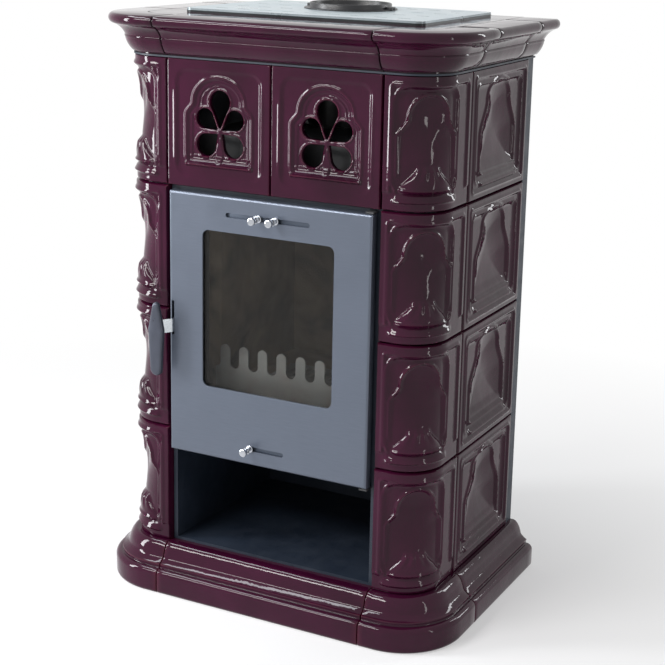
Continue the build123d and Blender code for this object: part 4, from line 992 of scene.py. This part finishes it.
class STOVE_OT_handle(bpy.types.Operator):
    """Make the latch handle: bent strap with its hooked tail, and the leaf grip"""
    bl_idname = "stove.handle"
    bl_label = "Latch handle"

    def execute(self, context):
        bm = bmesh.new()
        half, strap_low, strap_height, grip_back = 2.0, 487.0, 24.0, -210.5
        left, right, end = LEVER_X - half, LEVER_X + half, -174.5
        line = rounded_outline([
            (left, end, 1), (left, -195.6, 5), (-198.4, -206.5, 5), (-215.5, -206.5, 0.5),
            (-215.5, grip_back, 0.5), (-196.9, grip_back, 6), (right, -194.4, 7), (right, end, 1),
        ])
        prism(bm, line, lambda a, b, h: (a, b, strap_low + h), strap_height, 0.6)
        hook = rounded_outline([
            (-182.5, 494, 0.5), (-154.5, 494, 2), (-154.5, 487.5, 2), (-152, 486, 2), (-144.5, 486, 1.5),
            (-144.5, 504, 4), (-182.5, 504, 0.5),
        ])
        prism(bm, hook, lambda a, b, h: (left + h, a, b), 2 * half, 0.4)
        piece_from_bmesh("latch_strap", bm, "zinc", "handle_lever")

        thick = context.scene.stove_sizes.grip_thickness / MM
        outline = hull([
            (r * cos(tau * k / 72), z + r * sin(tau * k / 72))
            for z, r in ((536, 6), (492.1, 15.5), (420, 11)) for k in range(72)
        ])
        levels = ((1.0, 0.0), (1.0, 0.35), (0.985, 0.6), (0.93, 0.8), (0.84, 0.93), (0.7, 0.985), (0.4, 1.0))
        bm = bmesh.new()
        rings = [leaf_ring(bm, outline, scale, grip_back - thick * level) for scale, level in levels]
        skin(bm, rings)
        bm.faces.new(rings[0][::-1])
        bm.faces.new(rings[-1])
        piece_from_bmesh("leaf_grip", bm, "grip_metal", "handle_grip", 60.0)
        return {"FINISHED"}


class STOVE_OT_air_slides(bpy.types.Operator):
    """Make the three air shutters with their turned knobs"""
    bl_idname = "stove.air_slides"
    bl_label = "Air slides"

    def execute(self, context):
        neck, ring, head = 3.5, 6.25, 7.0
        knob = [
            (0, -3.4), (2.5, -3.4), (2.5, 0.9), (5.6, 0.9), (ring, 1.4), (ring, 2.5), (5.6, 3.0),
            (neck + 0.3, 3.2), (neck, 4.0), (neck, 10.8), (neck + 0.4, 11.4), (5.7, 11.5), (ring, 12.0),
            (ring, 13.0), (5.7, 13.5), (neck + 0.4, 13.6), (neck, 14.2), (neck, 19.6), (neck + 0.5, 20.6),
            (5.9, 21.0), (6.8, 21.5), (head, 22.2), (head, 24.8), (6.7, 25.9), (5.8, 26.6), (4.2, 26.95),
            (0, 27.0),
        ]
        half_height = 10
        shutters = (
            ("air_slide_left", -16.5, 707.0, -85.0, -1.0),
            ("air_slide_right", 16.5, 707.0, 1.0, 85.0),
            ("primary_slide", -30.0, 298.0, -38.0, 38.0),
        )
        for node, x, z, low, high in shutters:
            bm = bmesh.new()
            plate = rounded_outline(rectangle(low, high, z - half_height, z + half_height, 1.5))
            prism(bm, plate, lambda a, b, h: (a, SLIDE_BACK - h, b), SLIDE_BACK - SLIDE_FRONT, 0.3)
            lathe(bm, knob, (x, DOOR_FACE, z), (0, -1, 0), 48)
            piece_from_bmesh(f"shutter_{node}", bm, "chrome", node, 34.0)
        return {"FINISHED"}


class STOVE_OT_flue_collar(bpy.types.Operator):
    """Make the flue collar with its lugs and screws"""
    bl_idname = "stove.flue_collar"
    bl_label = "Flue collar"

    def execute(self, context):
        bm = bmesh.new()
        outer, bore, flange = 73.0, 69.0, 83.0
        foot, seat, top = 837.0, 1041.0, 1052.0
        profile = [
            (bore, foot), (flange, foot), (flange, foot + 2.0), (outer, foot + 2.0), (outer, seat),
            (flange - 0.6, seat), (flange, seat + 0.6), (flange, seat + 1.4), (flange - 0.6, seat + 2.0),
            (outer + 1.2, seat + 2.0), (outer + 0.3, seat + 2.4), (outer, seat + 3.4), (outer, top - 1.8),
            (outer - 0.5, top - 0.7), (outer - 1.6, top), (bore + 1.4, top), (bore + 0.4, top - 0.6),
            (bore, top - 1.6), (bore, foot),
        ]
        lathe(bm, profile, (0, FLUE_Y, 0), (0, 0, 1), 96)
        bmesh.ops.remove_doubles(bm, verts=bm.verts, dist=1e-6)
        lug_start, lug_end, lug_half, lug_height = 72.0, 85.0, 7.0, 6.6
        for side in (-1, 1):
            a, b = sorted((side * lug_start, side * lug_end))
            lug = rounded_outline(rectangle(a, b, FLUE_Y - lug_half, FLUE_Y + lug_half, 1.5))
            prism(bm, lug, lambda p, q, h: (p, q, seat + h), lug_height, 0.7)
            cap_screw(bm, (side * lug_end, FLUE_Y, seat + 3.4), (side, 0, 0), 2.0, 1.4)
        piece_from_bmesh("smoke_collar", bm, "flue_enamel", "flue_collar", 40.0)
        return {"FINISHED"}


class STOVE_OT_rope_seal(bpy.types.Operator):
    """Make the braided rope seal in the door's channel"""
    bl_idname = "stove.rope_seal"
    bl_label = "Rope seal"

    def execute(self, context):
        half_width, half_depth, middle_y = context.scene.stove_sizes.rope_radius / MM, 5.795, -175.2
        station_gap, around, strand_pitch, strand_height = 2.2, 16, 5.5, 0.05
        loop = rounded_outline(rectangle(-169, 169, 278.6, 727.4, 6), 6)
        corners = [Vector(corner) for corner in loop]
        line = []
        for a, b in zip(corners, corners[1:] + corners[:1]):
            steps = max(1, ceil((b - a).length / station_gap))
            line += [a.lerp(b, k / steps) for k in range(steps)]
        points = []
        for i, at in enumerate(line):
            along = (line[(i + 1) % len(line)] - line[i - 1]).normalized()
            side = Vector((along.y, -along.x))
            twist = tau * i / strand_pitch
            for k in range(around):
                angle = tau * k / around
                reach = 1 + strand_height * max(sin(3 * angle + twist), sin(3 * angle - twist))
                across = half_width * reach * cos(angle)
                depth = middle_y + half_depth * reach * sin(angle)
                points.append((at.x + side.x * across, depth, at.y + side.y * across))
        faces = ring_faces(len(line), around, closed=True)
        piece_from("braided_rope", points, faces, "rope", "door_rope_seal", 80.0)
        return {"FINISHED"}


class STOVE_OT_screws(bpy.types.Operator):
    """Put in the screws of the glass clips"""
    bl_idname = "stove.screws"
    bl_label = "Screws"

    def execute(self, context):
        bm = bmesh.new()
        clip_x, clip_y = 149.5, -180.4
        for x in (-clip_x, clip_x):
            for z in (453.8, 621.2):
                cap_screw(bm, (x, clip_y, z), (0, 1, 0), 3.0, 1.8)
        piece_from_bmesh("clip_screws", bm, "zinc", "glass_clips", stands_in=False)
        return {"FINISHED"}


def lay_floor():
    """A floor that reaches far beyond the picture."""
    reach = 30.0
    mesh = bpy.data.meshes.new("floor")
    corners = [(-reach, -reach, 0), (reach, -reach, 0), (reach, reach, 0), (-reach, reach, 0)]
    mesh.from_pydata(corners, [], [(0, 1, 2, 3)])
    mesh.materials.append(floor_material())
    floor = placed("floor", mesh)


def light_world(scene, ambient):
    """Even light from all round, behind a white background."""
    scene.world = bpy.data.worlds.new("Studio")
    scene.world.use_nodes = True
    world = Nodes(scene.world.node_tree)
    sky = world.mix(world.seen(), (ambient, ambient, ambient * 1.02), (1, 1, 1))
    world.put(sky, world.tree.nodes["Background"].inputs["Color"])


def hang_lamp(name, place, aim, size, power, tint):
    """A flat lamp at a place, in metres, facing its aim."""
    lamp = bpy.data.lights.new(name, "AREA")
    lamp.shape = "RECTANGLE"
    lamp.size, lamp.size_y = size
    lamp.energy = power
    lamp.color = tint
    holder = placed(name, lamp)
    holder.location = place
    holder.rotation_euler = (Vector(aim) - Vector(place)).to_track_quat("-Z", "Y").to_euler()


def set_camera(scene, focal_length):
    """Look from the photograph's place, turned left, down and then about the line of sight."""
    yaw, pitch, roll = (radians(turn) for turn in CAMERA_TURNS)
    lens = bpy.data.cameras.new("camera")
    lens.lens = focal_length
    lens.sensor_width = 36
    lens.shift_x = (PHOTO_SIDE / 2 - AXIS_ACROSS) / PHOTO_SIDE
    lens.shift_y = (AXIS_DOWN - PHOTO_SIDE / 2) / PHOTO_SIDE
    lens.clip_end = 100
    camera = placed("camera", lens)
    pose = Matrix.Translation(CAMERA_PLACE)
    for angle, axis in ((yaw, "Z"), (pi / 2 - pitch, "X"), (roll, "Z")):
        pose @= Matrix.Rotation(angle, 4, axis)
    camera.matrix_world = pose
    scene.camera = camera


class STOVE_OT_stage(bpy.types.Operator):
    """Set the floor, lamps, surroundings and camera"""
    bl_idname = "stove.stage"
    bl_label = "Stage"

    def execute(self, context):
        scene, studio = context.scene, context.scene.stove_studio
        lay_floor()
        light_world(scene, studio.ambient)
        warm, cool, cold, bluish = (1.0, 0.98, 0.96), (0.97, 0.98, 1.0), (0.96, 0.98, 1.0), (0.93, 0.96, 1.0)
        lamps = (
            ("key", (-1.3, -2.4, 2.2), (0, 0, 0.75), (1.7, 0.34), studio.key_power, warm),
            ("overhead bar", (-1.5, -0.9, 2.8), (-0.1, -0.2, 0.3), (2.4, 0.3), studio.top_power, bluish),
            ("left window", (-2.5, -1.5, 1.15), (0, 0, 0.8), (0.46, 1.8), studio.left_power, cool),
            ("right strip", (2.9, -0.7, 1.02), (0.2, 0, 0.9), (0.16, 1.9), studio.right_power, warm),
            ("rear strip", (1.9, 2.6, 1.9), (0.2, 0, 0.6), (0.35, 1.8), studio.rear_power, cold),
        )
        for lamp in lamps:
            hang_lamp(*lamp)
        set_camera(scene, studio.focal_length)
        scene.view_settings.view_transform = "Standard"
        return {"FINISHED"}


OPERATORS = (
    STOVE_OT_finishes, STOVE_OT_corner_tiles, STOVE_OT_side_tiles, STOVE_OT_fret_tiles, STOVE_OT_mouldings,
    STOVE_OT_handle, STOVE_OT_air_slides, STOVE_OT_flue_collar, STOVE_OT_rope_seal, STOVE_OT_screws,
    STOVE_OT_stage,
)


class STOVE_PT_panel(bpy.types.Panel):
    """Sizes, colours and the steps that dress the stove"""
    bl_idname = "STOVE_PT_panel"
    bl_label = "Tiled Stove"
    bl_space_type = "VIEW_3D"
    bl_region_type = "UI"
    bl_category = "Tiled Stove"

    def draw(self, context):
        for group in (context.scene.stove_colours, context.scene.stove_sizes, context.scene.stove_studio):
            box = self.layout.box()
            for name in group.bl_rna.properties.keys():
                if name not in ("rna_type", "name"):
                    box.prop(group, name)
        for operator in OPERATORS:
            self.layout.operator(operator.bl_idname)


GROUPS = {"stove_colours": StoveColours, "stove_sizes": StoveSizes, "stove_studio": StudioSettings}


def register():
    for group in GROUPS.values():
        bpy.utils.register_class(group)
    for name, group in GROUPS.items():
        setattr(bpy.types.Scene, name, bpy.props.PointerProperty(type=group))
    for cls in (*OPERATORS, STOVE_PT_panel):
        bpy.utils.register_class(cls)


def unregister():
    for cls in (STOVE_PT_panel, *reversed(OPERATORS)):
        bpy.utils.unregister_class(cls)
    for name, group in GROUPS.items():
        delattr(bpy.types.Scene, name)
        bpy.utils.unregister_class(group)


def main():
    register()
    for operator in OPERATORS:
        group, name = operator.bl_idname.split(".")
        getattr(getattr(bpy.ops, group), name)()


if __name__ == "__main__":
    main()
